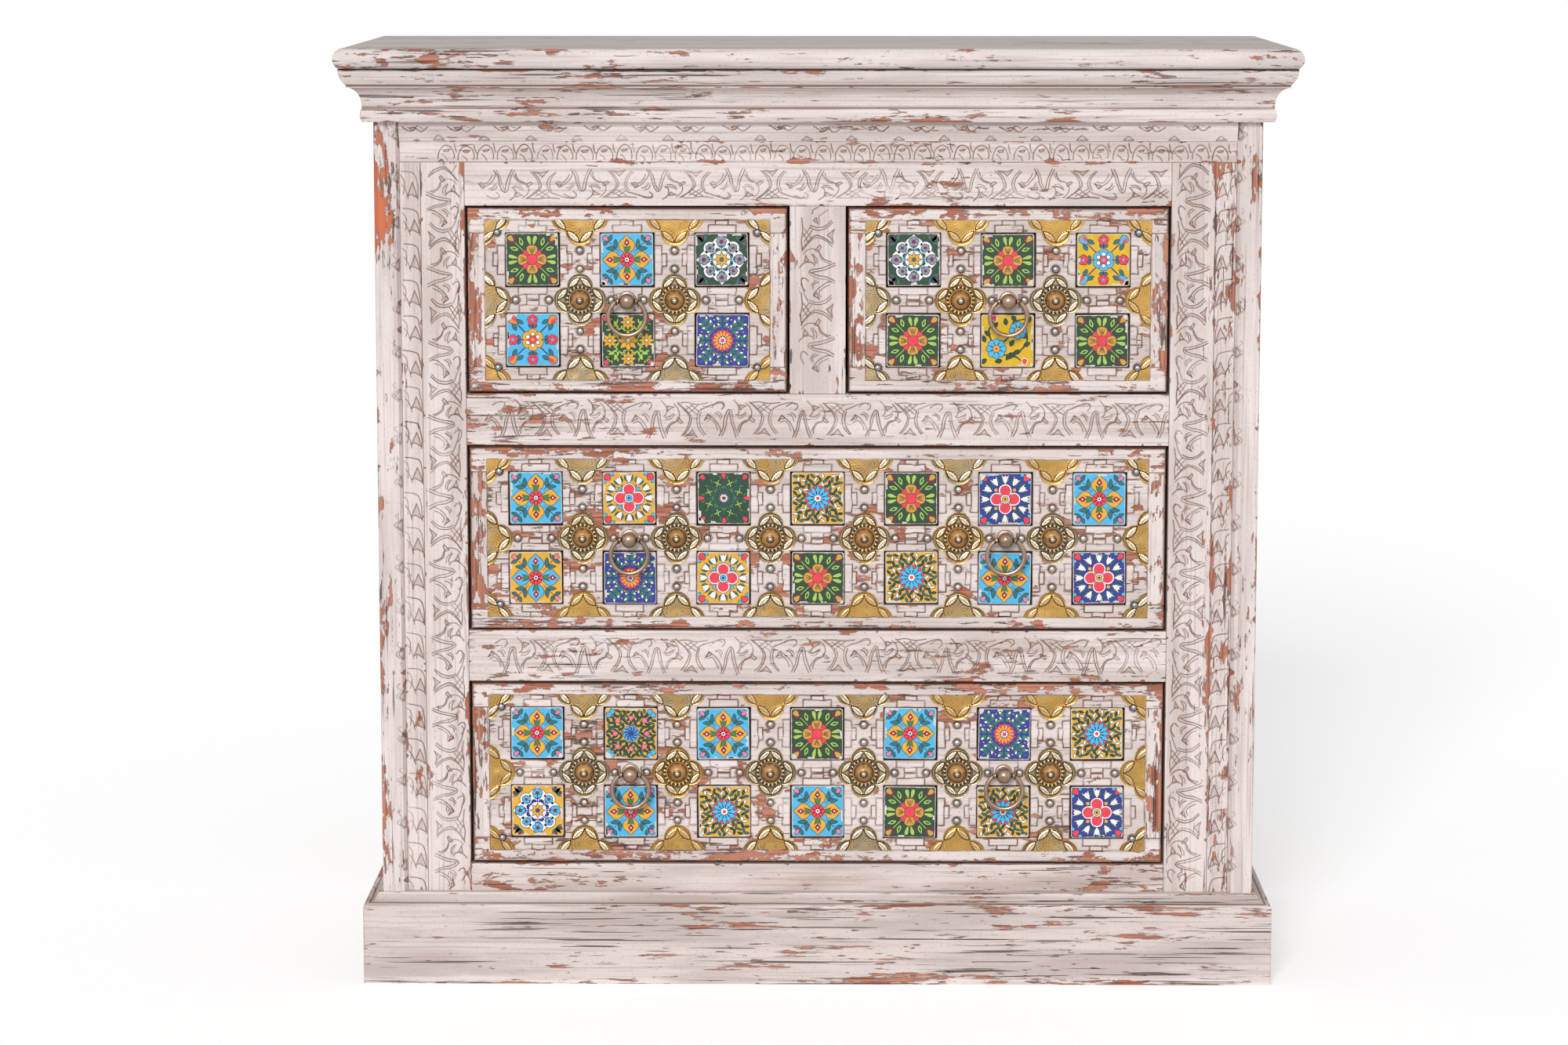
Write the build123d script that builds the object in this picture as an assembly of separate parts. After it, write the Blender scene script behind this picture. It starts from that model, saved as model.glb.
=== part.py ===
"""Chest of four drawers in whitewashed hardwood: carved face frame, moulded cornice and tall plinth.

Two short drawers stand over two wide ones. Each drawer front is a strip-built board with square pockets for
glazed tiles, pressed brass plates held by domed nails, and ball-and-ring pulls.

Frame: millimetres, +Z up, the front of the chest faces -Y. The origin is on the floor, under the middle of
the chest's outer box.
"""

import itertools
import os

from build123d import *

# Outer sizes of the whole chest.
chest_width = 920.0
chest_depth = 420.0
chest_height = 910.0

# Top board and cornice. The cornice's steps are measured outward from the case and up from its foot.
top_thickness = 20.0
top_nose_flat = 1.0
top_overhang = 35.0
cornice_height = 50.0
cornice_reach = 30.0
cornice_bead_reach = 11.5
cornice_bead_height = 13.0
cornice_cove_reach = 21.0
cornice_cove_height = 33.0
cornice_lip = 2.0
cornice_cove_bow = (0.25, 0.62)
cornice_ovolo_bow = (0.75, 0.42)

# Outer frame of the case front: two corner stiles and a frieze rail, with a bevelled inner edge.
side_thickness = 20.0
corner_stile_width = 21.0
corner_bevel = 3.0
frieze_height = 19.0
frieze_bevel = 12.0
frame_recess = 6.0

# Carved face frame inside it.
frame_thickness = 20.0
border_width = 20.0
carved_stile_width = 42.0
carved_top_rail_height = 42.0
carved_rail_height = 50.0
bottom_rail_height = 27.0
divider_width = 54.0
rail_behind_plinth = 18.0

# Plinth boards, with a small ledge and a cove along their upper edge.
plinth_height = 88.0
plinth_thickness = 18.0
plinth_cove_height = 9.0
plinth_ledge = 4.0
plinth_nose = 3.0

# Boards inside the case.
back_thickness = 6.0
back_inset = 5.0
bottom_thickness = 12.0
plinth_back_height = 50.0

# Runners and kickers: a bearer under each drawer side, a guide beside it and a strip over it.
runner_thickness = 18.0
runner_bearing = 16.0
guide_height = 16.0
guide_clearance = 1.0
running_clearance = 0.3
kicker_thickness = 16.0

# Drawer fronts.
front_gap_side = 2.0
front_gap_top = 1.5
front_gap_bottom = 1.5
front_thickness = 20.0
front_edge_round = 2.5
front_stile_width = 17.0
front_lip_height = 12.0
field_depth = 1.2

# Tile pockets and the stepped blocks carved round them.
tile_size = 50.5
tile_thickness = 5.5
tile_corner_round = 2.0
tile_below_field = 0.4
pocket_clearance = 0.7
tile_column_web = 39.1
tile_edge_web = 12.5
tile_end_margin = 30.0
block_length = 27.0
block_width = 7.5
step_length = 12.0
step_width = 4.5
block_rise = 1.0
block_root = 5.0

# Brasswork: four-lobed plates, halves and quarters of a larger plate, and domed bosses.
plate_thickness = 0.8
lobe_radius = 12.5
lobe_offset = 13.0
edge_lobe_radius = 13.5
edge_lobe_offset = 14.5
edge_plate_shift = 3.0
boss_radius = 10.0
boss_height = 7.5
boss_wall = 1.2

# Domed nails.
nail_head_radius = 3.7
nail_head_height = 2.6
nail_shank_radius = 1.0
nail_length = 10.0
nail_hole_clearance = 0.05
nail_stand_off = 4.5
corner_nail_inset = 12.0
boss_nail_head_radius = 2.6
boss_nail_head_height = 2.0

# Ball-and-ring pulls.
pull_plate_radius = 8.75
pull_plate_thickness = 2.0
pull_plate_round = 1.2
pull_pad_margin = 1.5
pull_neck_radius = 3.5
pull_ball_radius = 7.7
pull_stand_off = 13.0
pull_bolt_radius = 2.0
pull_bolt_clearance = 0.2
pull_nut_across = 8.0
pull_nut_thickness = 3.2
pull_nut_clearance = 0.05
pull_bolt_beyond = 1.6
ring_radius = 17.8
ring_wire_radius = 2.2
ring_collar_radius = 3.0
ring_collar_length = 1.6
ring_pin_radius = 1.6
ring_pin_clearance = 0.05
ring_pin_depth = 4.5
ring_collar_gap = 0.3

# Drawer boxes.
box_side_thickness = 12.0
box_top_gap = 33.0
box_side_gap = 2.5
box_back_gap = 0.5
box_bottom_thickness = 5.0
box_bottom_height = 8.0
box_groove_depth = 5.0
box_groove_clearance = 0.2

# How far a cutting shape runs past the face that it cuts.
beyond = 1.0

# Planes and levels that follow from the sizes above.
nose_y = -chest_depth / 2
back_y = chest_depth / 2
outer_face_y = nose_y + top_overhang
frame_face_y = outer_face_y + frame_recess
frame_back_y = frame_face_y + frame_thickness
case_half = chest_width / 2 - top_overhang
inner_half = case_half - side_thickness
frame_half = case_half - corner_stile_width - corner_bevel
opening_half = frame_half - border_width - carved_stile_width
back_panel_y = back_y - back_inset - back_thickness
top_z = chest_height - top_thickness
cornice_z = top_z - cornice_height
frieze_z = cornice_z - frieze_height
border_z = frieze_z - border_width
frame_bottom_z = plinth_height - rail_behind_plinth
opening_top_z = border_z - carved_top_rail_height
bottom_opening_z = plinth_height + bottom_rail_height
opening_height = (opening_top_z - bottom_opening_z - 2 * carved_rail_height) / 3
row_step = opening_height + carved_rail_height
opening_z = [bottom_opening_z + row * row_step for row in range(3)]
front_height = opening_height - front_gap_top - front_gap_bottom
box_height = opening_height - running_clearance - box_top_gap
pocket_size = tile_size + 2 * pocket_clearance


def slab(x0, x1, y0, y1, z0, z1):
    """A rectangular board between two corners."""
    return Pos((x0 + x1) / 2, (y0 + y1) / 2, (z0 + z1) / 2) * Box(x1 - x0, y1 - y0, z1 - z0)


def along_x(points, x0, x1):
    """A board of constant section along X. The outline is a list of (y, z) points."""
    face = make_face(Polyline(*[(x0, y, z) for y, z in points], close=True))
    return extrude(face, amount=x1 - x0, dir=(1, 0, 0))


def along_z(points, z0, z1):
    """A board of constant section along Z. The outline is a list of (x, y) points."""
    face = make_face(Polyline(*[(x, y, z0) for x, y in points], close=True))
    return extrude(face, amount=z1 - z0, dir=(0, 0, 1))


def mirrored(shape):
    """The same piece on the other side of the chest."""
    return mirror(shape, about=Plane.YZ)


def group(solids):
    """Several separate solids in one node."""
    return Compound(children=[solid for piece in solids for solid in piece.solids()])


# ---------------------------------------------------------------- case


def make_top_board():
    """Top board with a bullnose along the front and both ends."""
    board = slab(-chest_width / 2, chest_width / 2, nose_y, back_y, top_z, chest_height)
    nose = (top_thickness - top_nose_flat) / 2
    front = board.faces().sort_by(Axis.Y)[0].edges().filter_by(Axis.X)
    ends = board.faces().sort_by(Axis.X)[0].edges().filter_by(Axis.Y)
    ends += board.faces().sort_by(Axis.X)[-1].edges().filter_by(Axis.Y)
    return fillet(front + ends, nose)


def part_way(start, end, share):
    """A point between two others, at its own share of the way in each direction."""
    return tuple(a + f * (b - a) for a, b, f in zip(start, end, share))


def cornice_section():
    """Cornice section in a plane of its own: the reach from the case, then the height over its foot."""
    bead_mid = cornice_bead_height / 2
    cove_start = (cornice_bead_reach - cornice_lip, cornice_bead_height)
    cove_end = (cornice_cove_reach, cornice_cove_height)
    ovolo_start = (cornice_cove_reach + cornice_lip, cornice_cove_height + cornice_lip)
    ovolo_end = (cornice_reach, cornice_height)
    foot = (cornice_bead_reach - cornice_lip, 0)
    cove_mid = part_way(cove_start, cove_end, cornice_cove_bow)
    ovolo_mid = part_way(ovolo_start, ovolo_end, cornice_ovolo_bow)
    outline = [
        Line((0, 0), foot),
        ThreePointArc(foot, (cornice_bead_reach, bead_mid), cove_start),
        ThreePointArc(cove_start, cove_mid, cove_end),
        Polyline(cove_end, (ovolo_start[0], cove_end[1]), ovolo_start),
        ThreePointArc(ovolo_start, ovolo_mid, ovolo_end),
        Polyline(ovolo_end, (0, cornice_height), (0, 0)),
    ]
    return make_face(Curve() + outline)


def make_cornice():
    """Front moulding and two returns, mitred at the front corners."""
    section = cornice_section()
    reach = cornice_reach + beyond
    length = chest_width
    facing_front = Plane(origin=(0, outer_face_y, cornice_z), x_dir=(0, -1, 0), z_dir=(-1, 0, 0))
    front = extrude(facing_front * section, amount=length / 2, both=True)
    facing_side = Plane(origin=(case_half, 0, cornice_z), x_dir=(1, 0, 0), z_dir=(0, -1, 0))
    side = extrude(facing_side * section, amount=length, both=True)
    corner = (case_half, outer_face_y)
    tip = (case_half + reach, outer_face_y - reach)
    front_zone = along_z(
        [corner, tip, (-tip[0], tip[1]), (-corner[0], corner[1])], cornice_z - beyond, top_z + beyond
    )
    side_zone = along_z(
        [corner, tip, (tip[0], back_y), (corner[0], back_y)], cornice_z - beyond, top_z + beyond
    )
    right = side & side_zone
    return front & front_zone, mirrored(right), right


def make_frieze_rail():
    """Top rail of the outer frame, bevelled down to the face frame. The cornice hides its upper half."""
    section = [
        (outer_face_y, top_z),
        (outer_face_y, frieze_z + frieze_bevel),
        (frame_face_y, frieze_z),
        (frame_back_y, frieze_z),
        (frame_back_y, top_z),
    ]
    return along_x(section, -frame_half, frame_half)


def make_corner_stile():
    """Right corner stile, from the floor to the top board, bevelled on its inner front edge."""
    inner = case_half - corner_stile_width
    section = [
        (case_half, outer_face_y),
        (inner, outer_face_y),
        (inner - corner_bevel, frame_face_y),
        (inner - corner_bevel, frame_back_y),
        (case_half, frame_back_y),
    ]
    return along_z(section, 0, top_z)


def make_side_panel():
    """Right side board, from the floor to the top board."""
    return slab(inner_half, case_half, frame_back_y, back_y, 0, top_z)


def make_back_panel():
    """Thin back, held between the side boards."""
    return slab(
        -inner_half,
        inner_half,
        back_panel_y,
        back_panel_y + back_thickness,
        frame_bottom_z - bottom_thickness,
        top_z,
    )


def make_bottom_board():
    """Floor of the case, under the lowest runners."""
    return slab(
        -inner_half,
        inner_half,
        frame_back_y,
        back_panel_y,
        frame_bottom_z - bottom_thickness,
        frame_bottom_z,
    )


def frame_board(x0, x1, z0, z1):
    """A board of the carved face frame."""
    return slab(x0, x1, frame_face_y, frame_back_y, z0, z1)


def make_border_strips():
    """Three narrow strips that edge the carved face frame: left, right and top."""
    inner = frame_half - border_width
    right = frame_board(inner, frame_half, frame_bottom_z, border_z)
    top = frame_board(-frame_half, frame_half, border_z, frieze_z)
    return group([mirrored(right), right, top])


def plinth_section(face_y, inward):
    """Section of a plinth board as (reach, z) points, from its outer face along inward."""
    cove_foot_z = plinth_height - plinth_cove_height
    steps = [
        (0, 0),
        (0, cove_foot_z - plinth_nose),
        (plinth_nose, cove_foot_z),
        (plinth_nose * 2, cove_foot_z),
        (plinth_thickness - plinth_ledge, plinth_height),
        (plinth_thickness, plinth_height),
        (plinth_thickness, 0),
    ]
    return [(face_y + inward * step, z) for step, z in steps]


def make_plinth():
    """Plinth front with a strip that fills the recess behind it, and mitred returns with a back rail."""
    face_y = outer_face_y - plinth_thickness
    half = case_half + plinth_thickness
    front = along_x(plinth_section(face_y, 1), -half, half)
    side_points = plinth_section(-half, 1)
    side_face = make_face(Polyline(*[(-x, nose_y, z) for x, z in side_points], close=True))
    side = extrude(side_face, amount=chest_depth, dir=(0, 1, 0))
    corner = (case_half, outer_face_y)
    tip = (half, face_y)
    tall = plinth_height + beyond
    front_zone = along_z([corner, tip, (-tip[0], tip[1]), (-corner[0], corner[1])], -beyond, tall)
    side_zone = along_z([corner, tip, (tip[0], back_y), (corner[0], back_y)], -beyond, tall)
    right = side & side_zone
    back = slab(
        -inner_half, inner_half, back_panel_y - plinth_thickness, back_panel_y, 0, plinth_back_height
    )
    recess_half = case_half - corner_stile_width
    filler_outline = [
        (-recess_half, outer_face_y),
        (recess_half, outer_face_y),
        (frame_half, frame_face_y),
        (-frame_half, frame_face_y),
    ]
    filler = along_z(filler_outline, frame_bottom_z, plinth_height)
    return group([front & front_zone, filler]), group([mirrored(right), right, back])


def depthwise(x0, x1, z0, z1):
    """A straight strip that runs from the face frame to the back panel."""
    return slab(x0, x1, frame_back_y, back_panel_y, z0, z1)


def make_runners():
    """Bearers, guides and kickers for the three rows, and those between the two short drawers."""
    guide_half = opening_half - box_side_gap + guide_clearance
    bearer_half = guide_half - runner_bearing
    pieces = []
    for level in opening_z:
        kicker_z = level + opening_height
        bearer = depthwise(bearer_half, inner_half, level - runner_thickness, level)
        guide = depthwise(guide_half, inner_half, level, level + guide_height)
        kicker = depthwise(bearer_half, inner_half, kicker_z, kicker_z + kicker_thickness)
        pieces += [bearer, guide, kicker, mirrored(bearer), mirrored(guide), mirrored(kicker)]
    level = opening_z[-1]
    kicker_z = level + opening_height
    middle_guide = divider_width / 2 + box_side_gap - guide_clearance
    middle_bearer = middle_guide + runner_bearing
    pieces.append(depthwise(-middle_bearer, middle_bearer, level - runner_thickness, level))
    pieces.append(depthwise(-middle_guide, middle_guide, level, level + guide_height))
    pieces.append(depthwise(-middle_bearer, middle_bearer, kicker_z, kicker_z + kicker_thickness))
    return group(pieces)


# ---------------------------------------------------------------- drawer fronts


class FrontLayout:
    """Places of tiles, plates, nails and pulls on one drawer front, in (x, z) from its middle."""

    def __init__(self, width, pull_count):
        self.width = width
        self.field_half_x = width / 2 - front_stile_width
        self.field_half_z = front_height / 2 - front_lip_height
        tile_pitch = pocket_size + tile_column_web
        room_x = width - 2 * tile_end_margin - pocket_size
        columns = int(room_x // tile_pitch) + 1
        self.column_x = [(i - (columns - 1) / 2) * tile_pitch for i in range(columns)]
        self.panel_half_z = self.field_half_z - tile_edge_web
        row = self.panel_half_z - pocket_size / 2
        self.row_z = [-row, row]
        self.rosette_x = [x + tile_pitch / 2 for x in self.column_x[:-1]]
        self.pull_x = self._pulls(columns, pull_count)

    def _pulls(self, columns, pull_count):
        """A single pull sits on the middle column, and a pair on the second column from each end."""
        if pull_count == 1:
            return [self.column_x[columns // 2]]
        return [self.column_x[1], self.column_x[-2]]

    def tiles(self):
        """Middles of the tile pockets."""
        return [(x, z) for z in self.row_z for x in self.column_x]

    def plate_nails(self):
        """Nails at the tips of the plates, and those that go through the corner plates."""
        ring = lobe_radius + lobe_offset + nail_stand_off
        tip = edge_lobe_radius + edge_lobe_offset - edge_plate_shift + nail_stand_off
        nails = []
        for x in self.rosette_x:
            nails += [(x - ring, 0), (x + ring, 0), (x, ring), (x, -ring)]
            nails += [(x, self.field_half_z - tip), (x, tip - self.field_half_z)]
        nails += [(tip - self.field_half_x, 0), (self.field_half_x - tip, 0)]
        for side in (-1, 1):
            for level in (-1, 1):
                x = side * (self.field_half_x - corner_nail_inset)
                nails.append((x, level * (self.field_half_z - corner_nail_inset)))
        return nails

    def through_plate(self):
        """Corner nails, whose heads lie on a plate and not on the wood."""
        return self.plate_nails()[-4:]


def stepped_blocks(layout):
    """Raised blocks in two steps on each side of every tile pocket, and a pad under every pull."""
    face, foot = field_depth - block_rise, field_depth + block_root
    steps = ((0, block_width, block_length), (block_width, step_width, step_length))
    pad = pull_plate_radius + pull_pad_margin
    heads = [drilled(x, z, nail_head_radius, 0, field_depth) for x, z in layout.plate_nails()]
    blocks = [slab(x - pad, x + pad, face, foot, -pad, pad) - heads for x in layout.pull_x]
    for x, z in layout.tiles():
        for side, (start, width, length) in itertools.product((-1, 1), steps):
            near = pocket_size / 2 + start
            a, b = sorted((side * near, side * (near + width)))
            blocks.append(slab(x - length / 2, x + length / 2, face, foot, z + a, z + b))
            blocks.append(slab(x + a, x + b, face, foot, z - length / 2, z + length / 2))
    return blocks


def make_front(layout):
    """The four frame strips and the carved panel of a drawer front, with its face at y = 0."""
    half_x, half_z = layout.width / 2, front_height / 2
    blank = slab(-half_x, half_x, 0, front_thickness, -half_z, half_z)
    blank = fillet(blank.faces().sort_by(Axis.Y)[0].edges(), front_edge_round)
    field_x, field_z = layout.field_half_x, layout.field_half_z
    field = slab(-field_x, field_x, -beyond, field_depth, -field_z, field_z)
    inside = slab(-field_x, field_x, -beyond, front_thickness, -field_z, field_z)
    blocks = [block & inside for block in stepped_blocks(layout)]
    pocket_floor = field_depth + tile_below_field + tile_thickness
    cuts = []
    for x, z in layout.tiles():
        half = pocket_size / 2
        cuts.append(slab(x - half, x + half, -beyond, pocket_floor, z - half, z + half))
    hole = nail_shank_radius + nail_hole_clearance
    nail_places = layout.plate_nails() + [(x, 0) for x in layout.rosette_x]
    cuts += [drilled(x, z, hole, 0, nail_length + boss_height) for x, z in nail_places]
    bolt_hole = pull_bolt_radius + pull_bolt_clearance
    cuts += [drilled(x, 0, bolt_hole, -beyond, front_thickness + beyond) for x in layout.pull_x]
    whole = (blank - field) + blocks - cuts
    edge = layout.panel_half_z
    top = whole & slab(-half_x, half_x, -beyond, front_thickness, edge, half_z)
    bottom = whole & slab(-half_x, half_x, -beyond, front_thickness, -half_z, -edge)
    left = whole & slab(-half_x, -field_x, -beyond, front_thickness, -edge, edge)
    right = whole & slab(field_x, half_x, -beyond, front_thickness, -edge, edge)
    panel = whole & slab(-field_x, field_x, -beyond, front_thickness, -edge, edge)
    return group([top, bottom, left, right]), panel


def drilled(x, z, radius, y0, y1):
    """A straight round hole or shank along Y."""
    return Pos(x, (y0 + y1) / 2, z) * Rot(90, 0, 0) * Cylinder(radius, y1 - y0)


def make_tiles(layout):
    """One glazed tile in each pocket, just under the level of the carved field."""
    tile = Box(tile_size, tile_thickness, tile_size)
    tile = fillet(tile.edges().filter_by(Axis.Y), tile_corner_round)
    y = field_depth + tile_below_field + tile_thickness / 2
    return group([Pos(x, y, z) * tile for x, z in layout.tiles()])


# ---------------------------------------------------------------- brasswork


def four_lobes(radius, offset):
    """Outline of a four-lobed plate, as a sketch on the XY plane."""
    sketch = Rectangle(2 * offset, 2 * offset, rotation=45)
    for x, y in ((1, 0), (-1, 0), (0, 1), (0, -1)):
        sketch += Pos(x * offset, y * offset) * Circle(radius)
    return sketch


def as_plate(sketch):
    """A thin plate from a sketch, facing -Y, with its back on y = 0."""
    return Rot(90, 0, 0) * extrude(sketch, amount=plate_thickness)


def dome(radius, height):
    """Domed cap of a sphere, with its flat side on y = 0, rising towards -Y."""
    sphere_radius = (radius**2 + height**2) / (2 * height)
    ball = Pos(0, sphere_radius - height, 0) * Sphere(sphere_radius)
    wide = radius + beyond
    return ball & slab(-wide, wide, -height - beyond, 0, -wide, wide)


def make_boss():
    """Domed boss, a thin shell with a hole for its nail, standing on y = 0."""
    hollow = dome(boss_radius - boss_wall, boss_height - boss_wall)
    hole = drilled(0, 0, nail_shank_radius + nail_hole_clearance, -2 * boss_height, boss_height)
    return dome(boss_radius, boss_height) - hollow - hole


def make_brasswork(layout):
    """Pressed plates and bosses: wholes between the tiles, halves along the edges, quarters in corners."""
    hole = Circle(nail_shank_radius + nail_hole_clearance)
    whole = as_plate(four_lobes(lobe_radius, lobe_offset) - hole)
    big = four_lobes(edge_lobe_radius, edge_lobe_offset)
    span = 2 * (edge_lobe_radius + edge_lobe_offset)
    shift = edge_plate_shift
    half = as_plate(big & Pos(0, -shift - span / 2) * Rectangle(span, span))
    quarter_zone = Pos(shift + span / 2, -shift - span / 2) * Rectangle(span, span)
    inset = shift + corner_nail_inset
    quarter = as_plate((big & quarter_zone) - Pos(inset, -inset) * hole)
    boss = make_boss()
    y = field_depth
    top, end = layout.field_half_z + shift, layout.field_half_x + shift
    pieces = []
    for x in layout.rosette_x:
        pieces += [Pos(x, y, 0) * whole, Pos(x, y - plate_thickness, 0) * boss]
        pieces += [Pos(x, y, top) * half, Pos(x, y, -top) * Rot(0, 180, 0) * half]
    pieces += [Pos(-end, y, 0) * Rot(0, -90, 0) * half, Pos(end, y, 0) * Rot(0, 90, 0) * half]
    corners = ((-end, top, 0), (end, top, 90), (end, -top, 180), (-end, -top, 270))
    pieces += [Pos(x, y, z) * Rot(0, turn, 0) * quarter for x, z, turn in corners]
    return group(pieces)


def make_nail(head_radius, head_height, length):
    """Domed nail along Y, with the underside of its head on y = 0."""
    return dome(head_radius, head_height) + drilled(0, 0, nail_shank_radius, 0, length)


def make_nails(layout):
    """All domed nails of one drawer front."""
    plain = make_nail(nail_head_radius, nail_head_height, nail_length)
    over_boss = make_nail(boss_nail_head_radius, boss_nail_head_height, nail_length + boss_height)
    on_plate = field_depth - plate_thickness
    on_boss = on_plate - boss_height
    through = layout.through_plate()
    pieces = []
    for place in layout.plate_nails():
        level = on_plate if place in through else field_depth
        pieces.append(Pos(place[0], level, place[1]) * plain)
    pieces += [Pos(x, on_boss, 0) * over_boss for x in layout.rosette_x]
    return group(pieces)


# ---------------------------------------------------------------- pulls


def make_knobs(layout):
    """Each pull's ball, neck, backplate and bolt in one casting, and its nut behind the drawer front."""
    seat = field_depth - block_rise
    pivot = seat - pull_stand_off
    bore_radius = ring_pin_radius + ring_pin_clearance
    bolt_end = front_thickness + pull_nut_thickness + pull_bolt_beyond
    pieces = []
    for x in layout.pull_x:
        plate = drilled(x, 0, pull_plate_radius, seat - pull_plate_thickness, seat)
        rim = plate.edges().filter_by(GeomType.CIRCLE).sort_by(Axis.Y)[0]
        plate = fillet(rim, pull_plate_round)
        bored_ball = Sphere(pull_ball_radius) - Cylinder(bore_radius, 4 * pull_ball_radius)
        ball = Pos(x, pivot, 0) * Rot(0, 90, 0) * bored_ball
        neck_start = pivot + (bore_radius + pull_ball_radius) / 2
        neck = drilled(x, 0, pull_neck_radius, neck_start, seat)
        bolt = drilled(x, 0, pull_bolt_radius, neck_start, bolt_end)
        nut_outline = RegularPolygon(pull_nut_across / 2, 6, major_radius=False)
        nut_face = Pos(x, 0, 0) * Plane.XZ * nut_outline
        nut = extrude(nut_face, amount=-pull_nut_thickness)
        nut = Pos(0, front_thickness, 0) * nut
        nut -= drilled(x, 0, pull_bolt_radius + pull_nut_clearance, 0, bolt_end + beyond)
        pieces += [ball + neck + bolt + plate, nut]
    return group(pieces)


def make_ring(x):
    """Open ring whose two pins turn in the sides of the ball. Its place is that of the pull at x."""
    half_chord = pull_ball_radius + ring_collar_gap + ring_collar_length
    ring_drop = (ring_radius**2 - half_chord**2) ** 0.5
    left, right = Vector(-half_chord, 0, 0), Vector(half_chord, 0, 0)
    path = ThreePointArc(left, (0, 0, -ring_drop - ring_radius), right)
    section = Plane(origin=path @ 0, z_dir=path % 0) * Circle(ring_wire_radius)
    ring = sweep(section, path)
    for side in (-1, 1):
        end = Pos(side * half_chord, 0, 0)
        ring += end * Sphere(ring_wire_radius)
        collar_mid = side * (half_chord - ring_collar_length / 2)
        collar = Cylinder(ring_collar_radius, ring_collar_length)
        ring += Pos(collar_mid, 0, 0) * Rot(0, 90, 0) * collar
        pin_start = pull_ball_radius - ring_pin_depth
        pin_length = half_chord - pin_start
        pin_mid = side * (pin_start + pin_length / 2)
        ring += Pos(pin_mid, 0, 0) * Rot(0, 90, 0) * Cylinder(ring_pin_radius, pin_length)
    return Pos(x, field_depth - block_rise - pull_stand_off, 0) * ring


# ---------------------------------------------------------------- drawer boxes


def make_box(width):
    """Two sides and a back, grooved for the bottom, and the bottom itself, behind the drawer front."""
    half = width / 2 + front_gap_side - box_side_gap
    foot = -front_height / 2 - front_gap_bottom + running_clearance
    top = foot + box_height
    y0 = front_thickness
    y1 = back_panel_y - box_back_gap - frame_face_y
    inner = half - box_side_thickness
    bottom_z = foot + box_bottom_height
    reach = inner + box_groove_depth
    groove = slab(
        -reach,
        reach,
        y0 - beyond,
        y1 - box_side_thickness + box_groove_depth,
        bottom_z - box_groove_clearance,
        bottom_z + box_bottom_thickness + box_groove_clearance,
    )
    side = slab(inner, half, y0, y1, foot, top) - groove
    back = slab(-inner, inner, y1 - box_side_thickness, y1, foot, top) - groove
    bottom = slab(
        -reach + box_groove_clearance,
        reach - box_groove_clearance,
        y0,
        y1 - box_side_thickness + box_groove_depth - box_groove_clearance,
        bottom_z,
        bottom_z + box_bottom_thickness,
    )
    return group([mirrored(side), side, back]), bottom


def make_drawer(name, middle_x, level, width, pull_names):
    """Every node of one drawer, moved to its place in the chest."""
    layout = FrontLayout(width, len(pull_names))
    frame, panel = make_front(layout)
    box, bottom = make_box(width)
    place = Pos(middle_x, frame_face_y, level + front_gap_bottom + front_height / 2)
    nodes = {
        f"{name}_front_strips": frame,
        f"{name}_carved_panel": panel,
        f"{name}_box_walls": box,
        f"{name}_box_bottom": bottom,
        f"{name}_tiles": make_tiles(layout),
        f"{name}_brasswork": make_brasswork(layout),
        f"{name}_nails": make_nails(layout),
        f"{name}_pull_knobs": make_knobs(layout),
    }
    for pull_name, x in zip(pull_names, layout.pull_x):
        nodes[pull_name] = make_ring(x)
    return {key: place * shape for key, shape in nodes.items()}


def make_case():
    """Every node of the fixed case."""
    cornice_front, cornice_left, cornice_right = make_cornice()
    plinth_front, plinth_returns = make_plinth()
    corner, side = make_corner_stile(), make_side_panel()
    stile = frame_board(opening_half, opening_half + carved_stile_width, frame_bottom_z, border_z)
    rail_z = [level + opening_height for level in opening_z]
    nodes = {
        "top_board": make_top_board(),
        "cornice_front": cornice_front,
        "cornice_left": cornice_left,
        "cornice_right": cornice_right,
        "frieze_rail": make_frieze_rail(),
        "corner_stile_left": mirrored(corner),
        "corner_stile_right": corner,
        "side_panel_left": mirrored(side),
        "side_panel_right": side,
        "back_panel": make_back_panel(),
        "bottom_board": make_bottom_board(),
        "border_strips": make_border_strips(),
        "carved_stile_left": mirrored(stile),
        "carved_stile_right": stile,
        "carved_top_rail": frame_board(-opening_half, opening_half, opening_top_z, border_z),
        "carved_rail_upper": frame_board(
            -opening_half, opening_half, rail_z[1], rail_z[1] + carved_rail_height
        ),
        "carved_rail_lower": frame_board(
            -opening_half, opening_half, rail_z[0], rail_z[0] + carved_rail_height
        ),
        "centre_divider": frame_board(
            -divider_width / 2, divider_width / 2, opening_z[2], opening_z[2] + opening_height
        ),
        "bottom_rail": frame_board(-opening_half, opening_half, frame_bottom_z, bottom_opening_z),
        "plinth_front": plinth_front,
        "plinth_returns": plinth_returns,
        "runners_and_kickers": make_runners(),
    }
    return nodes


def main():
    """Builds every node and writes one STEP file for each."""
    os.makedirs("parts", exist_ok=True)
    short_opening = opening_half - divider_width / 2
    short_middle = (opening_half + divider_width / 2) / 2
    short_front = short_opening - 2 * front_gap_side
    wide_front = 2 * opening_half - 2 * front_gap_side
    nodes = make_case()
    nodes |= make_drawer("left_drawer", -short_middle, opening_z[2], short_front, ["left_drawer_ring"])
    nodes |= make_drawer("right_drawer", short_middle, opening_z[2], short_front, ["right_drawer_ring"])
    for level, name in zip(opening_z, ("bottom_drawer", "middle_drawer")):
        rings = [f"{name}_ring_left", f"{name}_ring_right"]
        nodes |= make_drawer(name, 0, level, wide_front, rings)
    for name, shape in nodes.items():
        export_step(shape, f"parts/{name}.step")
    print(len(nodes), "nodes, opening height", round(opening_height, 2))


main()
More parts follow.
